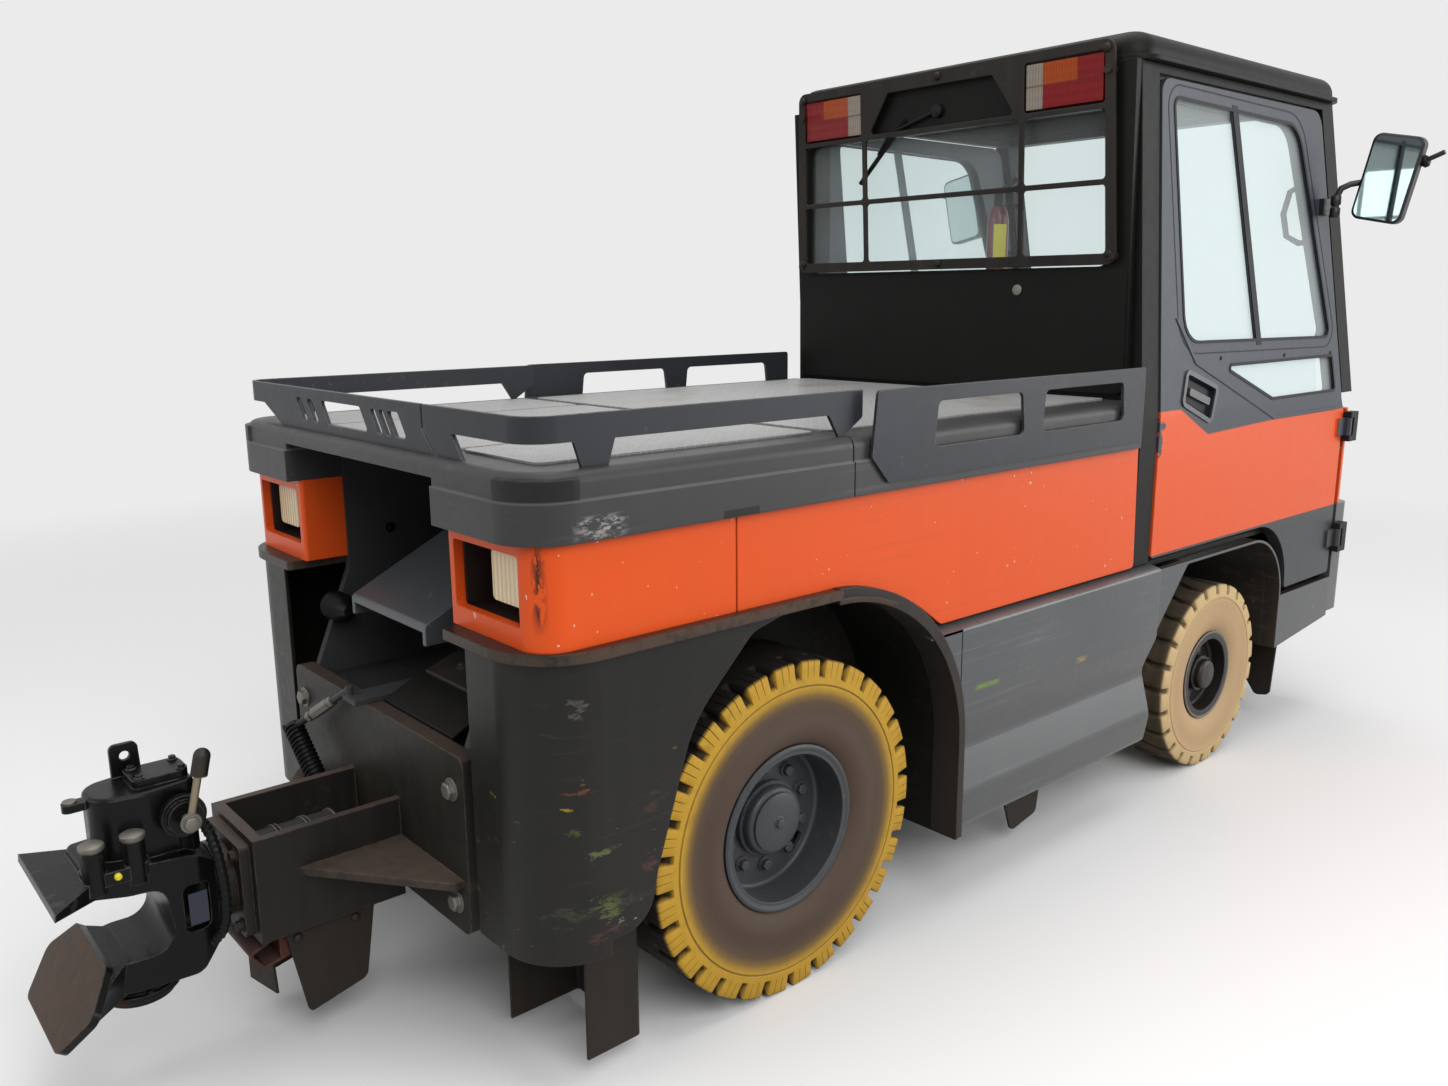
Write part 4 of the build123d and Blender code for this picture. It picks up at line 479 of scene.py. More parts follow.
M = {
    "orange": worn("orange_paint", ORANGE, 0.34, edge=(0.3, 0.09, 0.05), edges=0.4, dirts=0.1,
                   dirt=(0.3, 0.07, 0.03), bump=0.015, vary=0.05, coat=0.05, spec=0.35,
                   scuff=(0.25, 0.06, 0.04), scuffs=0.12, lines=0.15, recolor=orange_marks),
    "frame": worn("frame_paint", (0.009, 0.009, 0.009), 0.5, chips=0.3, chip=(0.06, 0.035, 0.02),
                  edge=(0.09, 0.06, 0.045), edges=0.7, dirts=0.15, spec=0.25, recolor=recess_sides),
    "tow": worn("tow_paint", (0.008, 0.008, 0.008), 0.46, chips=0.3, chip=(0.07, 0.035, 0.02),
                edge=(0.13, 0.085, 0.06), edges=1.0, dirts=0.12, spec=0.3, recolor=tow_marks),
    "fender": worn("fender_paint", (0.0105, 0.0105, 0.0095), 0.36, chips=0.3, chip=(0.1, 0.07, 0.045),
                   edge=(0.075, 0.045, 0.03), edges=0.9, dirts=0.12, dirt=(0.06, 0.047, 0.034),
                   scuff=(0.06, 0.055, 0.05), scuffs=0.25, lines=0.25, spec=0.35, recolor=fender_marks),
    "arch": worn("arch_paint", (0.02, 0.017, 0.015), 0.5, chips=0.5, chip=(0.07, 0.04, 0.025),
                 edge=(0.11, 0.07, 0.05), edges=0.8, dirts=0.3, dirt=(0.07, 0.055, 0.045), spec=0.35),
    "sill": worn("sill_paint", SLATE, 0.3, chips=0.1, chip=(0.25, 0.24, 0.22), edge=(0.2, 0.2, 0.2),
                 dirts=0.12, coat=0.2, scuff=(0.17, 0.175, 0.17), scuffs=0.2, lines=0.35, recolor=sill_marks),
    "front_arch": worn("front_arch_paint", SLATE, 0.34, chips=0.1, edge=(0.1, 0.07, 0.05), edges=0.7,
                       dirts=0.15, coat=0.1, scuff=(0.15, 0.155, 0.15), scuffs=0.15, lines=0.2,
                       recolor=arch_sides),
    "slope": worn("slope_paint", (0.07, 0.078, 0.085), 0.32, chips=0.1, edge=(0.3, 0.3, 0.3), dirts=0.1,
                  coat=0.1),
    "cover": worn("cover_plastic", (0.034, 0.034, 0.036), 0.42, chips=0.1, chip=(0.16, 0.15, 0.14),
                  edge=(0.16, 0.155, 0.15), edges=0.4, dirts=0.12, scuff=(0.09, 0.088, 0.085), scuffs=0.4,
                  bump=0.06, recolor=cover_marks),
    "rail": worn("rail_paint", (0.024, 0.027, 0.033), 0.4, chips=0.2, chip=(0.18, 0.15, 0.12),
                 edge=(0.26, 0.25, 0.24), edges=0.8, dirts=0.06, radius=0.003, spec=0.4),
    "guard": worn("guard_paint", (0.011, 0.009, 0.008), 0.45, chips=0.5, chip=(0.06, 0.03, 0.018),
                  edge=(0.06, 0.036, 0.024), dirts=0.15, spec=0.3),
    "cab": worn("cab_paint", (0.009, 0.0087, 0.0082), 0.4, chips=0.1, chip=(0.07, 0.035, 0.02),
                edge=(0.022, 0.021, 0.02), dirts=0.015, spec=0.15),
    "door": worn("door_paint", (0.04, 0.047, 0.061), 0.36, chips=0.05, chip=(0.1, 0.05, 0.03),
                 edge=(0.12, 0.12, 0.12), dirts=0.04, bump=0.015, vary=0.05, coat=0.05, spec=0.35,
                 recolor=door_bands),
    "cast": worn("cast_paint", (0.0035, 0.0038, 0.0045), 0.3, chips=0.2, chip=(0.1, 0.09, 0.08),
                 edge=(0.14, 0.135, 0.13), edges=0.8, bump=0.2, dirts=0.02, spec=0.2, coat=0.05,
                 recolor=lip_face),
    "lever": worn("lever_steel", (0.3, 0.25, 0.17), 0.42, 0.7, edges=0.2, chips=0.3, chip=(0.12, 0.06, 0.03),
                  recolor=lever_grip),
    "zinc": worn("zinc_steel", (0.18, 0.17, 0.15), 0.45, 0.7, edges=0.2, dirts=0.4, chips=0.2,
                 chip=(0.12, 0.07, 0.04)),
    "rubber": worn("flap_rubber", (0.014, 0.012, 0.01), 0.55, dirts=0.3, dirt=(0.06, 0.045, 0.034), edges=0.5,
                   edge=(0.08, 0.055, 0.035), scuff=(0.06, 0.055, 0.05), scuffs=0.3, spec=0.3),
    "soft": plain("soft_black", (0.005, 0.005, 0.0054), 0.42, spec=0.15),
    "buffer": worn("buffer_rubber", (0.016, 0.016, 0.017), 0.5, dirts=0.15, spec=0.4),
    "battery": worn("battery_paint", (0.06, 0.06, 0.065), 0.5),
    "rim": worn("rim_paint", (0.04, 0.045, 0.052), 0.36, chips=0.3, chip=(0.1, 0.08, 0.06),
                edge=(0.13, 0.13, 0.13), edges=0.8, dirts=0.2, dirt=(0.06, 0.05, 0.038), radius=0.003),
    "dish": worn("dish_paint", (0.007, 0.007, 0.0075), 0.36, chips=0.2, chip=(0.08, 0.06, 0.045),
                 edge=(0.2, 0.19, 0.17), edges=0.8, dirts=0.1, radius=0.003),
    "tyre_rear": worn("rear_rubber", (0.012, 0.011, 0.01), 0.6, edges=0.0, dirts=0.12,
                      dirt=(0.09, 0.065, 0.04), radius=0.0015, spec=0.35,
                      recolor=tyre_tone((0.52, 0.30, 0.03), (0.075, 0.05, 0.037), (0.012, 0.011, 0.01))),
    "tyre_front": worn("front_rubber", (0.02, 0.018, 0.016), 0.7, edges=0.0, dirts=0.2,
                       dirt=(0.4, 0.28, 0.16), radius=0.0015, spec=0.3,
                       recolor=tyre_tone((0.6, 0.44, 0.22), (0.5, 0.34, 0.19), (0.04, 0.034, 0.026))),
    "tray": plain("tray_black", (0.014, 0.007, 0.006), 0.6, spec=0.3),
    "tread": worn("tread_plate", (0.3, 0.3, 0.3), 0.42, chips=0.2, chip=(0.4, 0.38, 0.35), dirts=0.2,
                  edge=(0.25, 0.18, 0.13), edges=0.9, recolor=plate_tone, relief=plate_relief),
    "dash": plain("dash_black", (0.02, 0.02, 0.021), 0.6),
    "seat": worn("seat_cloth", (0.02, 0.02, 0.022), 0.85, edges=0.0, dirts=0.1, bump=0.3),
    "glass": glass("clear_glass", (0.965, 1.0, 0.998), 0.02),
    "pane": glass("door_glass", (0.955, 1.0, 0.998), 0.13),
    "shell": plain("mirror_black", (0.01, 0.01, 0.011), 0.4, spec=0.4),
    "mirror": plain("mirror_glass", (0.53, 0.62, 0.62), 0.03, 1.0),
    "lens": worn("clear_lens", (0.85, 0.7, 0.45), 0.16, edges=0.0, dirts=0.1, bump=0.0, radius=0.002,
                 vary=0.1, coat=0.4, relief=ribs(0.014)),
    "tail": worn("tail_lens", (0.2, 0.003, 0.005), 0.15, edges=0.0, dirts=0.05, bump=0.0, radius=0.002,
                 vary=0.15, coat=0.05, spec=0.2, recolor=tail_zones, relief=ribs(0.009)),
    "silver": plain("bezel_grey", (0.05, 0.052, 0.056), 0.3),
    "red": plain("cylinder_red", (0.12, 0.003, 0.003), 0.3),
    "yellow": plain("button_yellow", (0.75, 0.6, 0.03), 0.4),
    "plate_blue": plain("plate_blue", (0.008, 0.011, 0.03), 0.35),
}
# The part's nodes under each look
LOOKS = {
    "frame": "chassis_frame recess_linkage rear_axle front_axle knuckle_left knuckle_right cab_floor"
             " door_hinges seat_base",
    "battery": "battery_block", "tow": "tow_frame", "buffer": "tow_buffer", "cast": "coupling_head",
    "lever": "coupling_lever", "zinc": "tie_rod", "fender": "rear_fenders", "front_arch": "front_fenders",
    "orange": "corner_panels side_panels nose_panel", "sill": "sills front_bumper", "slope": "recess_cover",
    "tray": "lamp_trays", "lens": "reversing_lamps head_lamps", "tail": "tail_lamps",
    "cover": "deck_cover_rear deck_cover_front", "tread": "tread_plates", "rail": "rear_rails side_guards",
    "rubber": "mud_flaps splash_guards", "cab": "cab_frame cab_rear_wall cab_roof",
    "glass": "rear_glass windscreen", "guard": "rear_guard", "seat": "seats",
    "dash": "dashboard steering_wheel", "tyre_rear": "rear_tyre_left rear_tyre_right",
    "tyre_front": "front_tyre_left front_tyre_right", "rim": "rear_rim_left rear_rim_right",
    "dish": "front_rim_left front_rim_right", "door": "door_left door_right",
    "pane": "door_glass_left door_glass_right", "shell": "mirror_left mirror_right",
}
for look, names in LOOKS.items():
    for node in names.split():
        NODES[node].data.materials.clear()
        NODES[node].data.materials.append(M[look])


# Mesh helpers
def axes(direction):
    """Two directions square to a given one, and that one."""
    w = Vector(direction).normalized()
    u = w.cross(Vector((0, 0, 1)) if abs(w.z) < 0.9 else Vector((1, 0, 0))).normalized()
    return u, w.cross(u), w


def circle(place, u, v, r, count, first=0.0):
    """Points round a place in the plane of u and v."""
    turns = [math.tau * (k + first) / count for k in range(count)]
    return [place + (u * math.cos(t) + v * math.sin(t)) * r for t in turns]


class Build:
    """Collects the polygons of one piece."""

    def __init__(self):
        self.verts = []
        self.faces = []

    def skin(self, rings, caps=True, closed=False):
        """Skin over rings of points, one after the other; a closed one ends at its first ring."""
        n, first = len(rings[0]), len(self.verts)
        for ring in rings:
            self.verts += [Vector(p) for p in ring]
        for k in range(len(rings) if closed else len(rings) - 1):
            a, b = first + k * n, first + (k + 1) % len(rings) * n
            self.faces += [(a + i, a + (i + 1) % n, b + (i + 1) % n, b + i) for i in range(n)]
        if caps and not closed:
            last = len(self.verts)
            self.faces += [tuple(range(first, first + n)), tuple(range(last - n, last))]

    def turned(self, place, direction, rows, steps=20, ring=False):
        """Turned form with rows of (radius, along); the rows of a ring close on themselves."""
        u, v, w = axes(direction)
        rows = [*rows, rows[0]] if ring else rows
        self.skin([circle(place + w * h, u, v, r, steps) for r, h in rows], not ring)

    def hexagon(self, place, direction, r, h):
        """Bolt head on a washer."""
        self.turned(place, direction, [(r * 1.35, 0), (r * 1.35, h * 0.2)], 18)
        self.turned(place, direction, [(r, h * 0.2), (r, h * 0.9), (r * 0.85, h)], 6)

    def dome(self, place, direction, r, h):
        """Button head."""
        self.turned(place, direction, [(r, 0), (r * 0.97, h * 0.35), (r * 0.75, h * 0.75), (r * 0.3, h)], 16)

    def tube(self, points, radii, sides=10):
        """Round bar along points, with one radius or one for each point."""
        points = [Vector(p) for p in points]
        radii = radii if isinstance(radii, list) else [radii] * len(points)
        u, v, w = axes(points[1] - points[0])
        rings = []
        for i, p in enumerate(points):
            w = (points[min(i + 1, len(points) - 1)] - points[max(i - 1, 0)]).normalized()
            u = (u - w * u.dot(w)).normalized()
            rings.append(circle(p, u, w.cross(u), radii[i], sides))
        self.skin(rings)

    def slab(self, outline, shift):
        """Flat outline of points, thickened by a shift."""
        self.skin([outline, [Vector(p) + Vector(shift) for p in outline]])

    def frame(self, outer, inner, shift):
        """Flat ring between two outlines with as many points, thickened by a shift."""
        moved = [[Vector(p) + Vector(shift) for p in ring] for ring in (inner, outer)]
        self.skin([outer, inner, *moved], closed=True)


def new_object(name, data):
    """Object in the scene."""
    obj = bpy.data.objects.new(name, data)
    bpy.context.scene.collection.objects.link(obj)
    return obj


def piece(build, name, look, body="chassis", sharp=35.0):
    """Object from collected polygons, on a body and with a look."""
    mesh = bpy.data.meshes.new(name)
    mesh.from_pydata([tuple(v) for v in build.verts], [], build.faces)
    bm = bmesh.new()
    bm.from_mesh(mesh)
    bmesh.ops.recalc_face_normals(bm, faces=bm.faces)
    bm.to_mesh(mesh)
    bm.free()
    mesh.materials.append(M[look])
    mesh.shade_smooth()
    mesh.set_sharp_from_angle(angle=math.radians(sharp))
    obj = new_object(name, mesh)
    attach(obj, body)
    return obj


def rounded(corners, steps=6):
    """Outline of (u, v, radius) corners with round corners, as points (u, v)."""
    points = []
    for k, (u, v, r) in enumerate(corners):
        p = Vector((u, v))
        a, b = (Vector(corners[k + s][:2] if k + s < len(corners) else corners[0][:2]) - p for s in (-1, 1))
        a.normalize()
        b.normalize()
        half = a.angle(b) / 2
        cut, far = r / math.tan(half), r / math.sin(half)
        mid = p + (a + b).normalized() * far
        p0, p1 = p + a * cut - mid, p + b * cut - mid
        for i in range(steps + 1):
            q = p0.lerp(p1, i / steps).normalized() * r if r else p0
            points.append(mid + q)
    return points


SIDES = (("left", 1), ("right", -1))
REAR, FORWARD, UP = (Vector(p) for p in ((-1, 0, 0), (1, 0, 0), (0, 0, 1)))

# Tyres: rows of the half section from bead to tread middle give offset, radius, paint and side wall share,
# and where a groove runs its own offset and radius
REAR_ROWS = (
    (83, 176, 0, 1), (90, 184, 0, 1), (99, 193, 0, 1), (106, 206, 0, 1), (110, 221, 0, 1), (110.5, 234, 0, 1),
    (108, 248, 0, 1), (107.5, 262, 0, 1), (109, 280, 0.05, 1), (110.5, 294, 0.3, 1), (111, 305, 0.75, 1),
    (111, 313, 1, 1), (109, 314.5, 0.4, 1), (109, 316.5, 0.4, 1), (111, 318, 1, 1), (110.5, 331, 1, 1),
    (110, 335, 1, 1, 101, 335), (108.5, 350, 1, 1, 94, 340), (107, 365.5, 1, 1, 88, 342),
    (104.5, 368.8, 0.4, 0.2, 84, 343), (100, 370, 0, 0, 80, 344), (86, 370, 0, 0, 70, 345),
    (64, 370, 0, 0, 58, 346), (50, 370, 0, 0, 50, 352), (46, 370, 0, 0, 46, 369), (20, 370, 0, 0),
    (0, 370, 0, 0),
)
FRONT_ROWS = (
    (56.5, 128, 0, 1), (61.5, 139, 0, 1), (69, 149, 0, 1), (76, 164, 0, 1), (80, 184, 0, 1), (81, 205, 0, 1),
    (79.5, 222, 0, 1), (80.5, 237, 0.2, 1), (81, 246, 0.4, 1), (79, 247.5, 0, 1), (79, 249.5, 0, 1),
    (81, 251, 0.8, 1), (80.8, 261, 1, 1), (80.3, 264, 1, 1, 74, 264.5), (79, 276, 1, 1, 68, 269),
    (77.5, 288, 1, 0.9, 63, 272), (74.5, 292.5, 0.35, 0.4, 59, 275), (69, 294, 0.05, 0, 55, 277),
    (57, 294, 0, 0, 50, 278), (46, 294, 0, 0, 45, 279), (27, 294, 0, 0, 27, 279), (12, 294, 0, 0, 12, 280),
    (0, 294, 0, 0, 0, 280),
)
# Columns round the tyre: position in the pitch of a lug and share of the groove's depth
REAR_COLS = (
    (0.0, 0.1), (0.025, 0.0), (0.235, 0.0), (0.243, 0.2), (0.252, 0.2), (0.26, 0.0), (0.48, 0.0),
    (0.488, 0.2), (0.497, 0.2), (0.505, 0.0), (0.715, 0.0), (0.74, 0.1), (0.768, 1.0), (0.87, 1.0),
    (0.972, 1.0),
)
FRONT_COLS = (
    (0.0, 0.12), (0.03, 0.0), (0.25, 0.0), (0.49, 0.0), (0.71, 0.0), (0.74, 0.12), (0.775, 1.0),
    (0.87, 1.0), (0.965, 1.0),
)
PAINT_LOSS, WALL_LOSS = 0.95, 0.8  # share of these colours that is missing in a groove


def tyre(name, look, body, center, side, rows, cols, lugs, shift, reach):
    """Tyre with lugs; within reach of the middle its halves turn against each other by shift degrees."""
    section = [(1, *row) for row in rows] + [(-1, *row) for row in reversed(rows[:-1])]
    rings, paint, wall = [], [], []
    for k in range(lugs):
        for u, groove in cols:
            ring = []
            for half, o, r, colour, share, *deep in section:
                go, gr = deep or (o, r)
                off = (o + (go - o) * groove) * half / 1000
                radius = (r + (gr - r) * groove) / 1000
                bend = max(-1.0, min(1.0, off / reach)) * shift / 2
                turn = math.radians(-90 - shift / 2 + (k + u) * 360 / lugs + bend)
                ring.append(center + Vector((radius * math.cos(turn), side * off, radius * math.sin(turn))))
                cut = groove if deep else 0.0
                paint.append(colour * (1 - PAINT_LOSS * cut))
                wall.append(share * (1 - WALL_LOSS * cut))
            rings.append(ring)
    b = Build()
    b.skin(rings, closed=True)
    obj = piece(b, name, look, body, 40.0)
    for key, values in (("paint", paint), ("wall", wall)):
        obj.data.attributes.new(key, "FLOAT", "POINT").data.foreach_set("value", values)
    return obj


for side, sign in SIDES:
    rear_mid, front_mid = at(REAR_X, sign * REAR_Y, REAR_R), at(FRONT_X, sign * FRONT_Y, FRONT_R)
    rear_body, front_body = "wheel_rear_" + side, "wheel_front_" + side
    tread = tyre("rear_tread_" + side, "tyre_rear", rear_body, rear_mid, sign, REAR_ROWS, REAR_COLS,
                 30, 0.0, 0.1)
    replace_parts(tread, "rear_tyre_" + side)
    tread = tyre("front_tread_" + side, "tyre_front", front_body, front_mid, sign, FRONT_ROWS, FRONT_COLS,
                 24, 5.0, 0.027)
    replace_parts(tread, "front_tyre_" + side)
    out = Vector((0, sign, 0))
    bolts, plug = Build(), Build()
    for spot in circle(rear_mid + out * 0.012, FORWARD, UP, 0.112, 10, 0.5):
        bolts.hexagon(spot, out, 0.0125, 0.016)
    plug.turned(rear_mid + out * 0.054, out, [(0.066, 0), (0.066, 0.004), (0.06, 0.007), (0.02, 0.008)], 32)
    plug.hexagon(rear_mid + out * 0.061, out, 0.011, 0.008)
    plug.turned(rear_mid + out * 0.090, out, [(0.172, 0), (0.184, 0.003), (0.184, 0.007), (0.178, 0.009),
                                              (0.170, 0.006)], 64, True)
    piece(bolts, "rear_bolts_" + side, "rim", rear_body)
    piece(plug, "rear_cap_" + side, "rim", rear_body)
    nuts, ring = Build(), Build()
    for spot in circle(front_mid + out * 0.02, FORWARD, UP, 0.076, 5, 0.25):
        nuts.hexagon(spot, out, 0.012, 0.018)
    ring.turned(front_mid + out * 0.064, out, [(0.133, 0.0), (0.1415, 0.004), (0.140, 0.0075),
                                               (0.135, 0.0068), (0.131, 0.003)], 56, True)
    piece(nuts, "front_nuts_" + side, "dish", front_body)
    piece(ring, "front_ring_" + side, "zinc", front_body)

# Bolts and small fittings of the tow gear and the body
bolts, dark_bolts, domes = Build(), Build(), Build()
for y in (-0.354, 0.354):
    for z in (0.335, 0.567):
        bolts.hexagon(at(-0.025, y, z), REAR, 0.017, 0.016)
for y in (-0.074, 0.074):
    for z in (-0.074, 0.074):
        dark_bolts.hexagon(at(-0.345, y, TOW_Z + z), REAR, 0.011, 0.012)
for y, z in ((0.0, 2.09), (0.54, 2.085), (-0.54, 2.085), (0.0, 1.57), (0.562, 1.58), (-0.562, 1.58)):
    domes.dome(at(cab_rear(z, 0.0265), y, z), (-1, 0, -CAB_LEAN), 0.012, 0.009)
bolts.turned(at(cab_rear(1.491, 0.0065), -0.268, 1.491), REAR, [(0.015, 0), (0.015, 0.003), (0.009, 0.004)])
for side, sign in SIDES:
    out = Vector((0, sign, 0))
    for x in (-0.252, -0.132):
        domes.dome(at(x, sign * 0.106, 0.236), out, 0.010, 0.007)
    for x in (1.53, 1.625):
        domes.dome(at(x, sign * 0.536, 0.196), out, 0.010, 0.007)
    for y in (0.485, 0.565):
        domes.dome(at(2.99, sign * y, 0.40), REAR, 0.010, 0.007)
piece(bolts, "zinc_bolts", "zinc")
piece(dark_bolts, "flange_bolts", "frame")
piece(domes, "button_bolts", "guard")

# Release rod with its turnbuckle, return spring and boot in the recess
ROD_A, ROD_B = at(-0.040, 0.060, 0.664), at(-0.078, 0.300, 0.520)
rod_fit, spring, boot = Build(), Build(), Build()
rod_fit.tube([ROD_A.lerp(ROD_B, 0.34), ROD_A.lerp(ROD_B, 0.62)], 0.0135, 6)
for share in (0.28, 0.66):
    rod_fit.tube([ROD_A.lerp(ROD_B, share), ROD_A.lerp(ROD_B, share + 0.05)], 0.0125, 6)
SPRING_A, SPRING_B, TURNS = at(-0.078, 0.308, 0.525), at(-0.075, 0.165, 0.405), 17
su, sv = axes(SPRING_B - SPRING_A)[:2]
wind = circle(Vector(), su, sv, 0.0205, 12)
steps = TURNS * len(wind)
coil = [SPRING_A.lerp(SPRING_B, k / steps) + wind[k % len(wind)] for k in range(steps + 1)]
spring.tube(coil, 0.0038, 6)
ribbed = [(0.034 if k % 2 else 0.027, 0.008 * k) for k in range(9)]
boot.turned(at(0.054, 0.345, 0.779), (0, -1, 0), ribbed + [(0.02, 0.072), (0.012, 0.09)], 24)
piece(rod_fit, "turnbuckle", "zinc")
piece(spring, "return_spring", "soft")
piece(boot, "recess_boot", "soft", sharp=60)

# Rear wiper, extinguisher behind the seats, grab handles
wiper, bottle, patch, valve, grabs = (Build() for k in range(5))


def on_rear(y, z, off):
    """Point on the rear face of the cab, moved to the rear by off."""
    return at(cab_rear(z, off), y, z)


wiper.turned(on_rear(0.016, 2.0, 0.001), REAR, [(0.02, 0), (0.018, 0.012), (0.008, 0.016)])
wiper.tube([on_rear(0.016, 2.0, 0.010), on_rear(0.19, 1.955, 0.012), on_rear(0.245, 1.90, 0.006)],
           [0.006, 0.005, 0.004])
wiper.tube([on_rear(0.139, 1.99, 0.0), on_rear(0.325, 1.82, 0.0)], 0.007, 6)
piece(wiper, "rear_wiper", "soft")
BOTTLE = at(1.957, -0.11, 1.33)
bottle.turned(BOTTLE, UP, [(0.029, 0), (0.031, 0.006), (0.031, 0.36), (0.026, 0.385), (0.016, 0.402)], 28)
valve.turned(BOTTLE, UP, [(0.014, 0.40), (0.014, 0.45)], 14)
valve.tube([BOTTLE + UP * 0.44, BOTTLE + Vector((-0.02, -0.07, 0.47))], 0.009, 8)
valve.turned(BOTTLE, UP, [(0.0325, 0.10), (0.0325, 0.13)], 28)
valve.tube([BOTTLE + UP * 0.115, BOTTLE + Vector((-0.067, 0, 0.115))], 0.014, 8)
arc = [math.radians(195 + 9 * k) for k in range(9)]
low = [BOTTLE + Vector((0.0313 * math.cos(t), 0.0313 * math.sin(t), 0.25)) for t in arc]
high = [p + UP * 0.10 for p in reversed(low)]
patch.slab(low + high, (-0.0008, -0.0003, 0))
piece(bottle, "extinguisher", "red", sharp=50)
piece(valve, "extinguisher_valve", "soft")
piece(patch, "extinguisher_patch", "yellow")
for side, sign in SIDES:
    loop = [(3.0, 0.594, 1.81), (2.975, 0.545, 1.818), (2.957, 0.512, 1.795), (2.95, 0.5, 1.726),
            (2.957, 0.512, 1.657), (2.975, 0.545, 1.634), (3.03, 0.594, 1.642)]
    grabs.tube([at(x, sign * y, z) for x, y, z in loop], 0.0095)
piece(grabs, "grab_handles", "soft", sharp=60)

# Coupling: conduit, caps, button, bolts and a blank plate
conduit, caps, button, plate, lid = (Build() for k in range(5))
route = [on_head(u / 1000, y / 1000, v / 1000) for u, y, v in (
    (44, -62, 172), (34, -84, 164), (26, -98, 140), (20, -106, 105), (16, -110, 60), (14, -110, 15),
    (16, -106, -30), (24, -98, -62), (40, -84, -84))]
fine_route = []
for a, b in zip(route, route[1:]):
    fine_route += [a.lerp(b, k / 6) for k in range(6)]
conduit.tube(fine_route + [route[-1]], [0.0105 if k % 2 else 0.0085 for k in range(len(fine_route) + 1)])
for u in (0.222, 0.154):
    caps.turned(on_head(u, -0.080, 0.168), UP, [(0.0195, 0), (0.0215, 0.003), (0.0215, 0.010),
                                                (0.015, 0.014)], 24)
caps.hexagon(on_head(0.064, -0.122, 0.185), (0, -1, 0), 0.014, 0.012)
caps.turned(on_head(0.232, 0.0, 0.234), UP, [(0.012, 0), (0.012, 0.004)], 16)
button.turned(on_head(0.188, -0.094, 0.112), (0, -1, 0), [(0.0065, 0), (0.0065, 0.006), (0.004, 0.009)], 18)
plate.slab([on_head(u, -0.0925, v) for u, v in ((0.042, -0.03), (0.042, 0.034), (0.076, 0.034),
                                                (0.076, -0.03))], (0, -0.002, 0))
for u, y in ((0.046, -0.028), (0.046, 0.028), (0.12, -0.028), (0.12, 0.028)):
    lid.hexagon(on_head(u, y, 0.258), UP, 0.007, 0.008)
for k in range(6):
    t = math.pi * k / 3 + 0.5
    lid.hexagon(on_head(0.154 + 0.066 * math.cos(t), 0.066 * math.sin(t), -0.150), UP, 0.005, 0.006)
piece(conduit, "conduit", "soft", "coupling", 20)
piece(caps, "zinc_caps", "zinc", "coupling")
piece(button, "yellow_button", "yellow", "coupling")
piece(plate, "blank_plate", "plate_blue", "coupling")
piece(lid, "coupling_bolts", "cast", "coupling")

# Buffer washers
washers = Build()
for x in (-0.296, -0.236, -0.176):
    washers.turned(at(x, 0.0, TOW_Z), FORWARD, [(0.074, 0.0), (0.074, 0.002), (0.066, 0.003)], 36)
    washers.turned(at(x + 0.0515, 0.0, TOW_Z), FORWARD, [(0.074, 0.0), (0.074, 0.003), (0.03, 0.004)], 36)
piece(washers, "buffer_washers", "zinc")

# Lips round the rear arches, ends of the sills in front of them
ARCH_X, ARCH_Z, ARCH_R, SILL_TOP = 0.705, 0.455, 0.405, 0.745
ARC_STEPS, DROP_STEPS, DROP = 20, 5, 0.049  # the lip follows the arch and then drops straight down
for side, sign in SIDES:
    lip, end = Build(), Build()
    rings = []
    for k in range(ARC_STEPS + DROP_STEPS + 1):
        share = min(k, ARC_STEPS) / ARC_STEPS
        t = math.pi / 2 * (1 - share)
        drop = DROP * max(k - ARC_STEPS, 0)
        wide = 0.032 - 0.012 * share
        y0, y1 = 0.600, 0.668 + 0.010 * min(k, 8) / 8
        ring = []
        for r, y in ((ARCH_R - 0.001, y0), (ARCH_R - 0.001, y1), (ARCH_R + wide, y1), (ARCH_R + wide, y0)):
            ring.append(at(ARCH_X + r * math.cos(t), sign * y, ARCH_Z + r * math.sin(t) - drop))
        rings.append(ring)
    lip.skin(rings)
    arc = [math.radians(46 - 4 * k) for k in range(9)]
    edge = [(ARCH_X + 0.41 * math.cos(t), ARCH_Z + 0.41 * math.sin(t)) for t in arc]
    corners = [(1.113, edge[-1][1]), (1.113, SILL_TOP - 0.017), (1.0, SILL_TOP - 0.017)]
    edge = [(x, z) for x, z in edge if z < SILL_TOP - 0.018] + corners
    end.slab([at(x, sign * 0.674, z) for x, z in edge], (0, sign * -0.009, 0))
    end.slab([at(1.0, sign * 0.674, 0.728), at(1.113, sign * 0.674, 0.728), at(1.113, sign * 0.612, 0.745),
              at(1.003, sign * 0.612, 0.745)], (0, 0, -0.006))
    piece(lip, "arch_lip_" + side, "arch", sharp=40)
    piece(end, "sill_end_" + side, "sill")

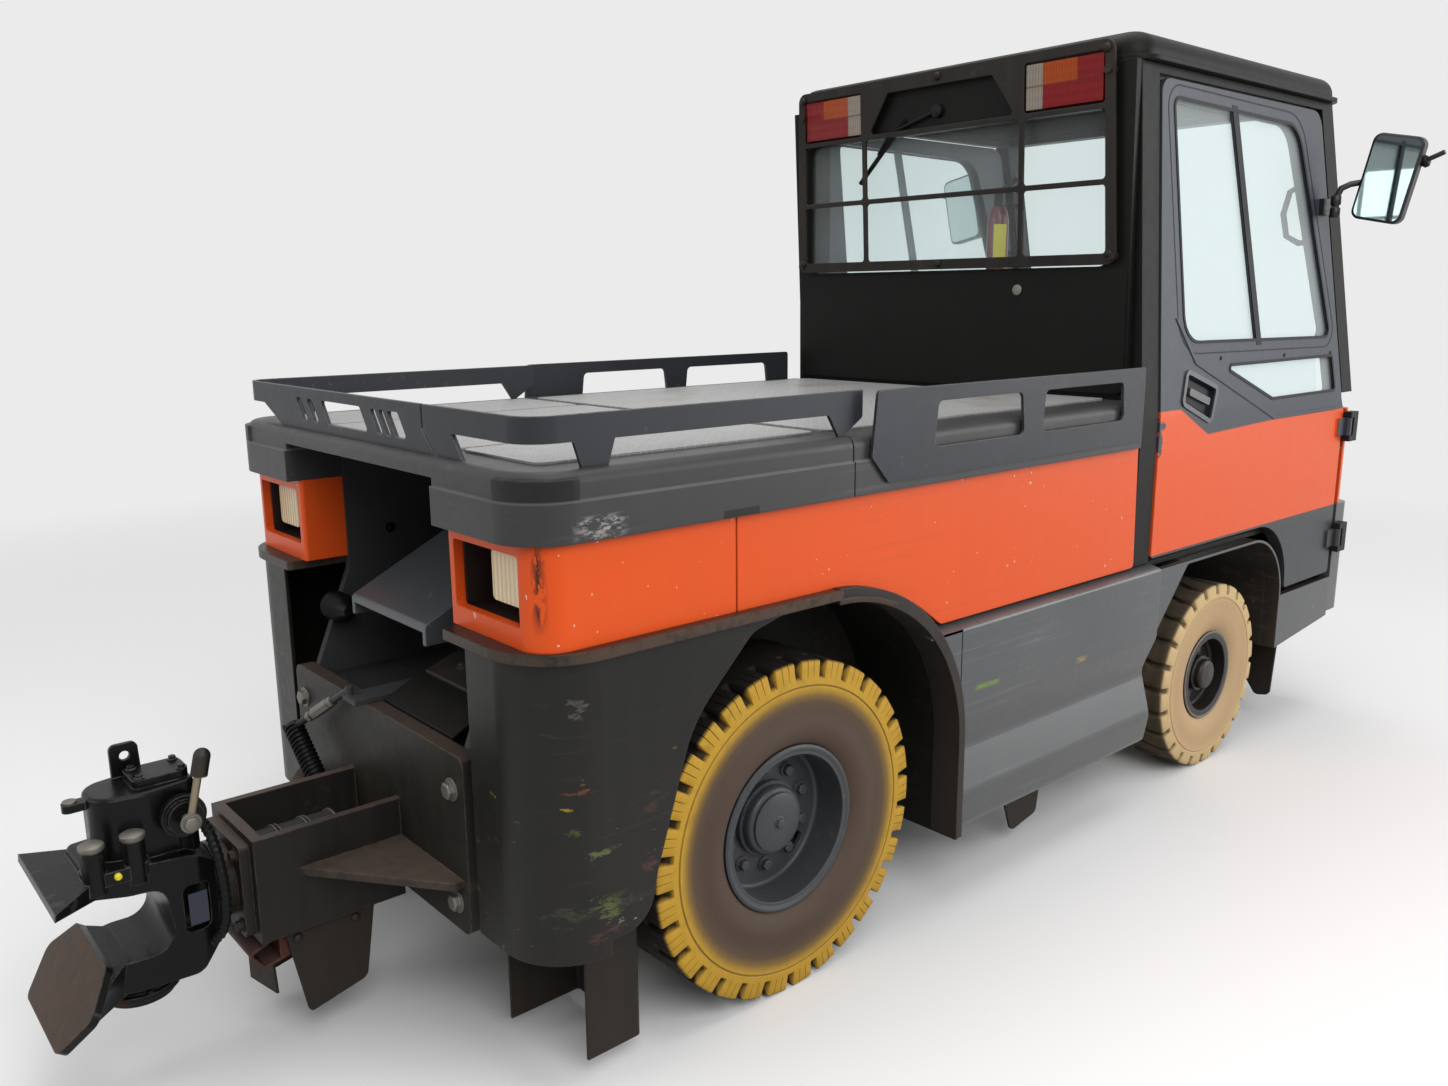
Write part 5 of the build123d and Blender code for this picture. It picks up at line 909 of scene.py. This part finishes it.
# Plates and bolts on the floor of the recess, small flap below the tow box
floor_plate, upper_plate, hem = Build(), Build(), Build()
floor_plate.slab([at(0.011, -0.298, 0.640), at(0.011, 0.0, 0.640),
                  at(0.11, 0.0, 0.688), at(0.11, -0.298, 0.688)], (0, 0, 0.006))
upper_plate.slab([at(0.10, -0.29, 0.690), at(0.10, -0.02, 0.690),
                  at(0.27, -0.02, 0.755), at(0.27, -0.29, 0.755)], (0, 0, 0.006))
for y in (-0.10, -0.17):
    upper_plate.hexagon(at(0.15, y, 0.714), (-0.36, 0, 0.93), 0.011, 0.010)
hem.slab([at(-0.288, 0.10, 0.197), at(-0.288, -0.045, 0.197),
          at(-0.286, -0.055, 0.102), at(-0.286, 0.105, 0.064)], (0.005, 0, 0))
piece(floor_plate, "recess_floor_plate", "cab")
piece(upper_plate, "recess_upper_plate", "arch")
piece(hem, "tow_box_flap", "rubber")

# Doors: outlines of the windows and the handle in millimetres from the rear edge and the belt, with radii
WINDOW = ((18, 830, 24), (758, 820, 110), (1068, 185, 24), (118, 195, 90))
LOWER_WINDOW = ((335, 124, 10), (1090, 125, 10), (1132, 8, 10), (670, 8, 16))
DIVIDER = ((335, 838), (367, 838), (580, 175), (548, 175))
HANDLE = ((132, 120, 16), (310, 64, 16), (280, -36, 16), (112, 28, 16))
PADDLE = ((152, 96, 8), (286, 54, 8), (268, -12, 8), (140, 36, 8))
GRIP = ((160, 70, 5), (276, 34, 5), (270, 14, 5), (154, 50, 5))


def on_door(points, sign, off):
    """Points of a door outline on the leaning outer face, moved outwards by off."""
    spots = [(DOOR_REAR + u / 1000, BELT_Z + v / 1000) for u, v in points]
    return [at(x, sign * cab_side(z, off), z) for x, z in spots]


def grow(points, d):
    """Outline moved outwards by d."""
    n = len(points)
    moved = []
    for k in range(n):
        along = points[(k + 1) % n] - points[k - 1]
        moved.append(points[k] + Vector((-along.y, along.x)).normalized() * d)
    return moved


# Mirrors: the arm from the door to the shell; rows of the shell give distance forward, growth and radius
MIRROR_ARM = ((2.94, 0.664, 1.74), (2.941, 0.666, 1.772), (2.947, 0.674, 1.794), (2.962, 0.694, 1.806),
              (2.984, 0.726, 1.812), (3.0, 0.765, 1.820), (2.999, 0.82, 1.838), (2.996, 0.872, 1.855),
              (2.994, 0.9, 1.866), (2.994, 0.9393, 1.882))
MIRROR_REAR, MIRROR_Y, MIRROR_Z, MIRROR_TURN = 2.956, 0.800, 1.815, math.radians(-12)
SHELL_ROWS = ((0.0, -6, 22), (0.004, 0, 26), (0.030, 0, 26), (0.040, -6, 22), (0.044, -16, 16))


def mirror_plan(sign, half_y, half_z, r, x):
    """Leaning outline of the mirror at a station."""
    corners = ((-half_y, -half_z, r), (half_y, -half_z, r), (half_y, half_z, r), (-half_y, half_z, r))
    c, d = math.cos(MIRROR_TURN), math.sin(MIRROR_TURN)
    return [at(x, sign * (MIRROR_Y + (u * c - v * d) / 1000), MIRROR_Z + (u * d + v * c) / 1000)
            for u, v in rounded(corners)]


for side, sign in SIDES:
    body = "door_" + side
    gasket, bezel, pocket, grip, shell, face, collar = (Build() for k in range(7))
    for build, corners, wide, narrow, thick in ((gasket, WINDOW, 4, -5, 0.003),
                                                (gasket, LOWER_WINDOW, 4, -5, 0.003),
                                                (gasket, WINDOW, 33, 29, 0.0016),
                                                (bezel, HANDLE, 5, -8, 0.006)):
        outer, inner = (on_door(grow(rounded(corners), d), sign, -0.001) for d in (wide, narrow))
        build.frame(outer, inner, (0, sign * thick, 0))
    gasket.slab(on_door([Vector(p) for p in DIVIDER], sign, -0.003), (0, sign * 0.004, 0))
    for x, z in ((2.31, 1.295), (2.72, 1.288), (3.06, 1.283)):
        gasket.dome(at(x, sign * cab_side(z), z), (0, sign, 0), 0.006, 0.003)
    pocket.slab(on_door(rounded(PADDLE), sign, -0.016), (0, sign * 0.006, 0))
    grip.slab(on_door(rounded(GRIP), sign, -0.010), (0, sign * 0.010, 0))
    piece(gasket, "gaskets_" + side, "soft", body)
    piece(bezel, "handle_bezel_" + side, "silver", body)
    piece(pocket, "handle_pocket_" + side, "soft", body)
    piece(grip, "handle_grip_" + side, "silver", body)
    shell.skin([mirror_plan(sign, 75 + d, 127.5 + d, r, MIRROR_REAR + x) for x, d, r in SHELL_ROWS])
    shell.tube([at(x, sign * y, z) for x, y, z in MIRROR_ARM], [0.0095] * 8 + [0.0075] * 2, 12)
    for z in (1.722, 1.758):
        shell.turned(at(2.940, sign * 0.664, z), UP,
                     [(0.012, -0.015), (0.015, -0.012), (0.015, 0.012), (0.012, 0.015)])
    foot = ((2.915, 1.715), (2.965, 1.715), (2.965, 1.765), (2.915, 1.765))
    shell.slab([at(x, sign * cab_side(z), z) for x, z in foot], (0, sign * 0.014, 0))
    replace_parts(piece(shell, "mirror_shell_" + side, "shell", body, 45), "mirror_" + side)
    face.slab(mirror_plan(sign, 67, 119.5, 20, MIRROR_REAR + 0.0002), (-0.0012, 0, 0))
    piece(face, "mirror_glass_" + side, "mirror", body)
    collar.turned(at(2.994, sign * 0.878, 1.856), (0.0, sign * 0.93, 0.37),
                  [(0.012, 0), (0.019, 0.006), (0.019, 0.016), (0.012, 0.022)])
    piece(collar, "mirror_collar_" + side, "soft", body, 50)

# Bolt heads on the walls of the recess
for side, sign in SIDES:
    heads = Build()
    for x, z in ((0.206, 1.123), (0.257, 1.121), (0.209, 0.942)):
        heads.hexagon(at(x, sign * 0.345, z), (0, -sign, 0), 0.009, 0.008)
    piece(heads, "recess_bolts_" + side, "soft")

# Seats: a cushion and a back on each side
SEAT_MID_Y, SEAT_HALF_Y = 0.245, 0.225
PAD_STEPS, SIDE_POWER, FACE_POWER = 28, 0.3, 0.45
PULL_IN, SEAM_DEEP, SEAM_Y, SEAM_WIDE = 0.035, 0.10, 0.6, 0.05  # shares of the half sizes


def soft(c, e):
    """Power of a number that keeps its sign."""
    return math.copysign(abs(c) ** e, c)


def pad(name, place, half, tilt):
    """Stuffed pad: a soft block whose sides pull in between its corners, with two seams along it."""
    b = Build()
    turn = Matrix.Rotation(tilt, 3, "Y")
    rings = []
    for i in range(1, PAD_STEPS):
        lat = math.pi * (i / PAD_STEPS - 0.5)
        wide, z = soft(math.cos(lat), SIDE_POWER), soft(math.sin(lat), FACE_POWER)
        ring = []
        for k in range(2 * PAD_STEPS):
            lon = math.pi * k / PAD_STEPS
            x, y = (wide * soft(c, SIDE_POWER) for c in (math.cos(lon), math.sin(lon)))
            pull = 1 - PULL_IN * ((1 - x * x) * abs(y) + (1 - y * y) * abs(x))
            seam = 1 - SEAM_DEEP * math.exp(-((abs(y) - SEAM_Y) / SEAM_WIDE) ** 2)
            ring.append(place + turn @ Vector((half[0] * x * pull, half[1] * y * pull, half[2] * z * seam)))
        rings.append(ring)
    b.skin(rings)
    obj = piece(b, name, "seat", sharp=60)
    return obj


for side, sign in SIDES:
    cushion = pad("seat_cushion_" + side, at(2.31, sign * SEAT_MID_Y, 0.945), (0.235, SEAT_HALF_Y, 0.055),
                  math.radians(-2))
    pad("seat_back_" + side, at(2.105, sign * SEAT_MID_Y, 1.235), (0.255, SEAT_HALF_Y, 0.050),
        math.radians(-83))
    if sign > 0:
        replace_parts(cushion, "seats")

# Floor that runs into the background, light and camera
BACK = 0.83  # linear grey of the background
AMBIENT = 0.42  # grey of the room that lights the tractor
FADE_FROM, FADE_TO = 2.2, 7.0  # distances over which the floor runs into the background
bpy.ops.mesh.primitive_plane_add(size=120)
floor = bpy.context.object
floor.name = "floor"
floor_mat, g, shader, end = start("floor_pale")
g.fill(shader, {"Base Color": (0.8,) * 3, "Roughness": 0.9, "Specular IOR Level": 0.1})
glow = g.add("ShaderNodeEmission", {"Color": (BACK,) * 3}).outputs[0]
dim = g.add("ShaderNodeBsdfDiffuse", {"Color": (0.35,) * 3}).outputs[0]
far = g.add("ShaderNodeVectorMath", {0: g.place()[0]}, operation="LENGTH").outputs["Value"]
near = g.blend(g.ramp(far, FADE_FROM, FADE_TO), shader.outputs[0], glow)
g.put(end, g.blend(g.seen(), dim, near))
floor.data.materials.append(floor_mat)

world = bpy.data.worlds.new("studio")
bpy.context.scene.world = world
world.use_nodes = True
g = Graph(world.node_tree)
g.put(world.node_tree.nodes["Background"].inputs[0], g.mix(g.seen(), (AMBIENT,) * 3, (BACK,) * 3))
# Name, place, target, size and power
LIGHTS = (
    ("key", (-2.5, -6.0, 5.5), (0.0, 0.0, 0.7), 5.0, 330),
    ("sheen", (6.5, -6.5, 2.6), (0.6, -0.6, 0.8), 5.0, 330),
    ("top", (0.3, 0.0, 7.0), (0.0, 0.0, 0.0), 6.0, 260),
    ("rear", (-6.5, 1.5, 3.5), (-1.0, 0.0, 0.7), 4.0, 90),
)
for name, place, target, size, power in LIGHTS:
    data = bpy.data.lights.new(name, "AREA")
    data.size = size
    data.energy = power
    lamp = new_object(name, data)
    lamp.location = place
    lamp.rotation_euler = (Vector(target) - Vector(place)).to_track_quat("-Z", "Y").to_euler()

# Camera as solved from the photograph
CAM_X, CAM_Y, CAM_Z = -0.991, -2.2587, 1.4817
YAW, PITCH, ROLL = (math.radians(a) for a in (48.997, 11.989, -0.423))
FOCAL_PX, WIDTH_PX, SENSOR_MM = 1165.58, 1448.0, 36.0
cam_data = bpy.data.cameras.new("camera")
cam_data.sensor_width = SENSOR_MM
cam_data.lens = SENSOR_MM * FOCAL_PX / WIDTH_PX
cam = new_object("camera", cam_data)
ahead = Vector((math.cos(YAW) * math.cos(PITCH), math.sin(YAW) * math.cos(PITCH), -math.sin(PITCH)))
right = Vector((math.sin(YAW), -math.cos(YAW), 0.0))
up = right.cross(ahead)
right, up = right * math.cos(ROLL) + up * math.sin(ROLL), up * math.cos(ROLL) - right * math.sin(ROLL)
turn = Matrix((right, up, -ahead)).transposed().to_4x4()
cam.matrix_world = Matrix.Translation(at(CAM_X, CAM_Y, CAM_Z)) @ turn
bpy.context.scene.camera = cam
bpy.context.scene.view_settings.view_transform = "Standard"
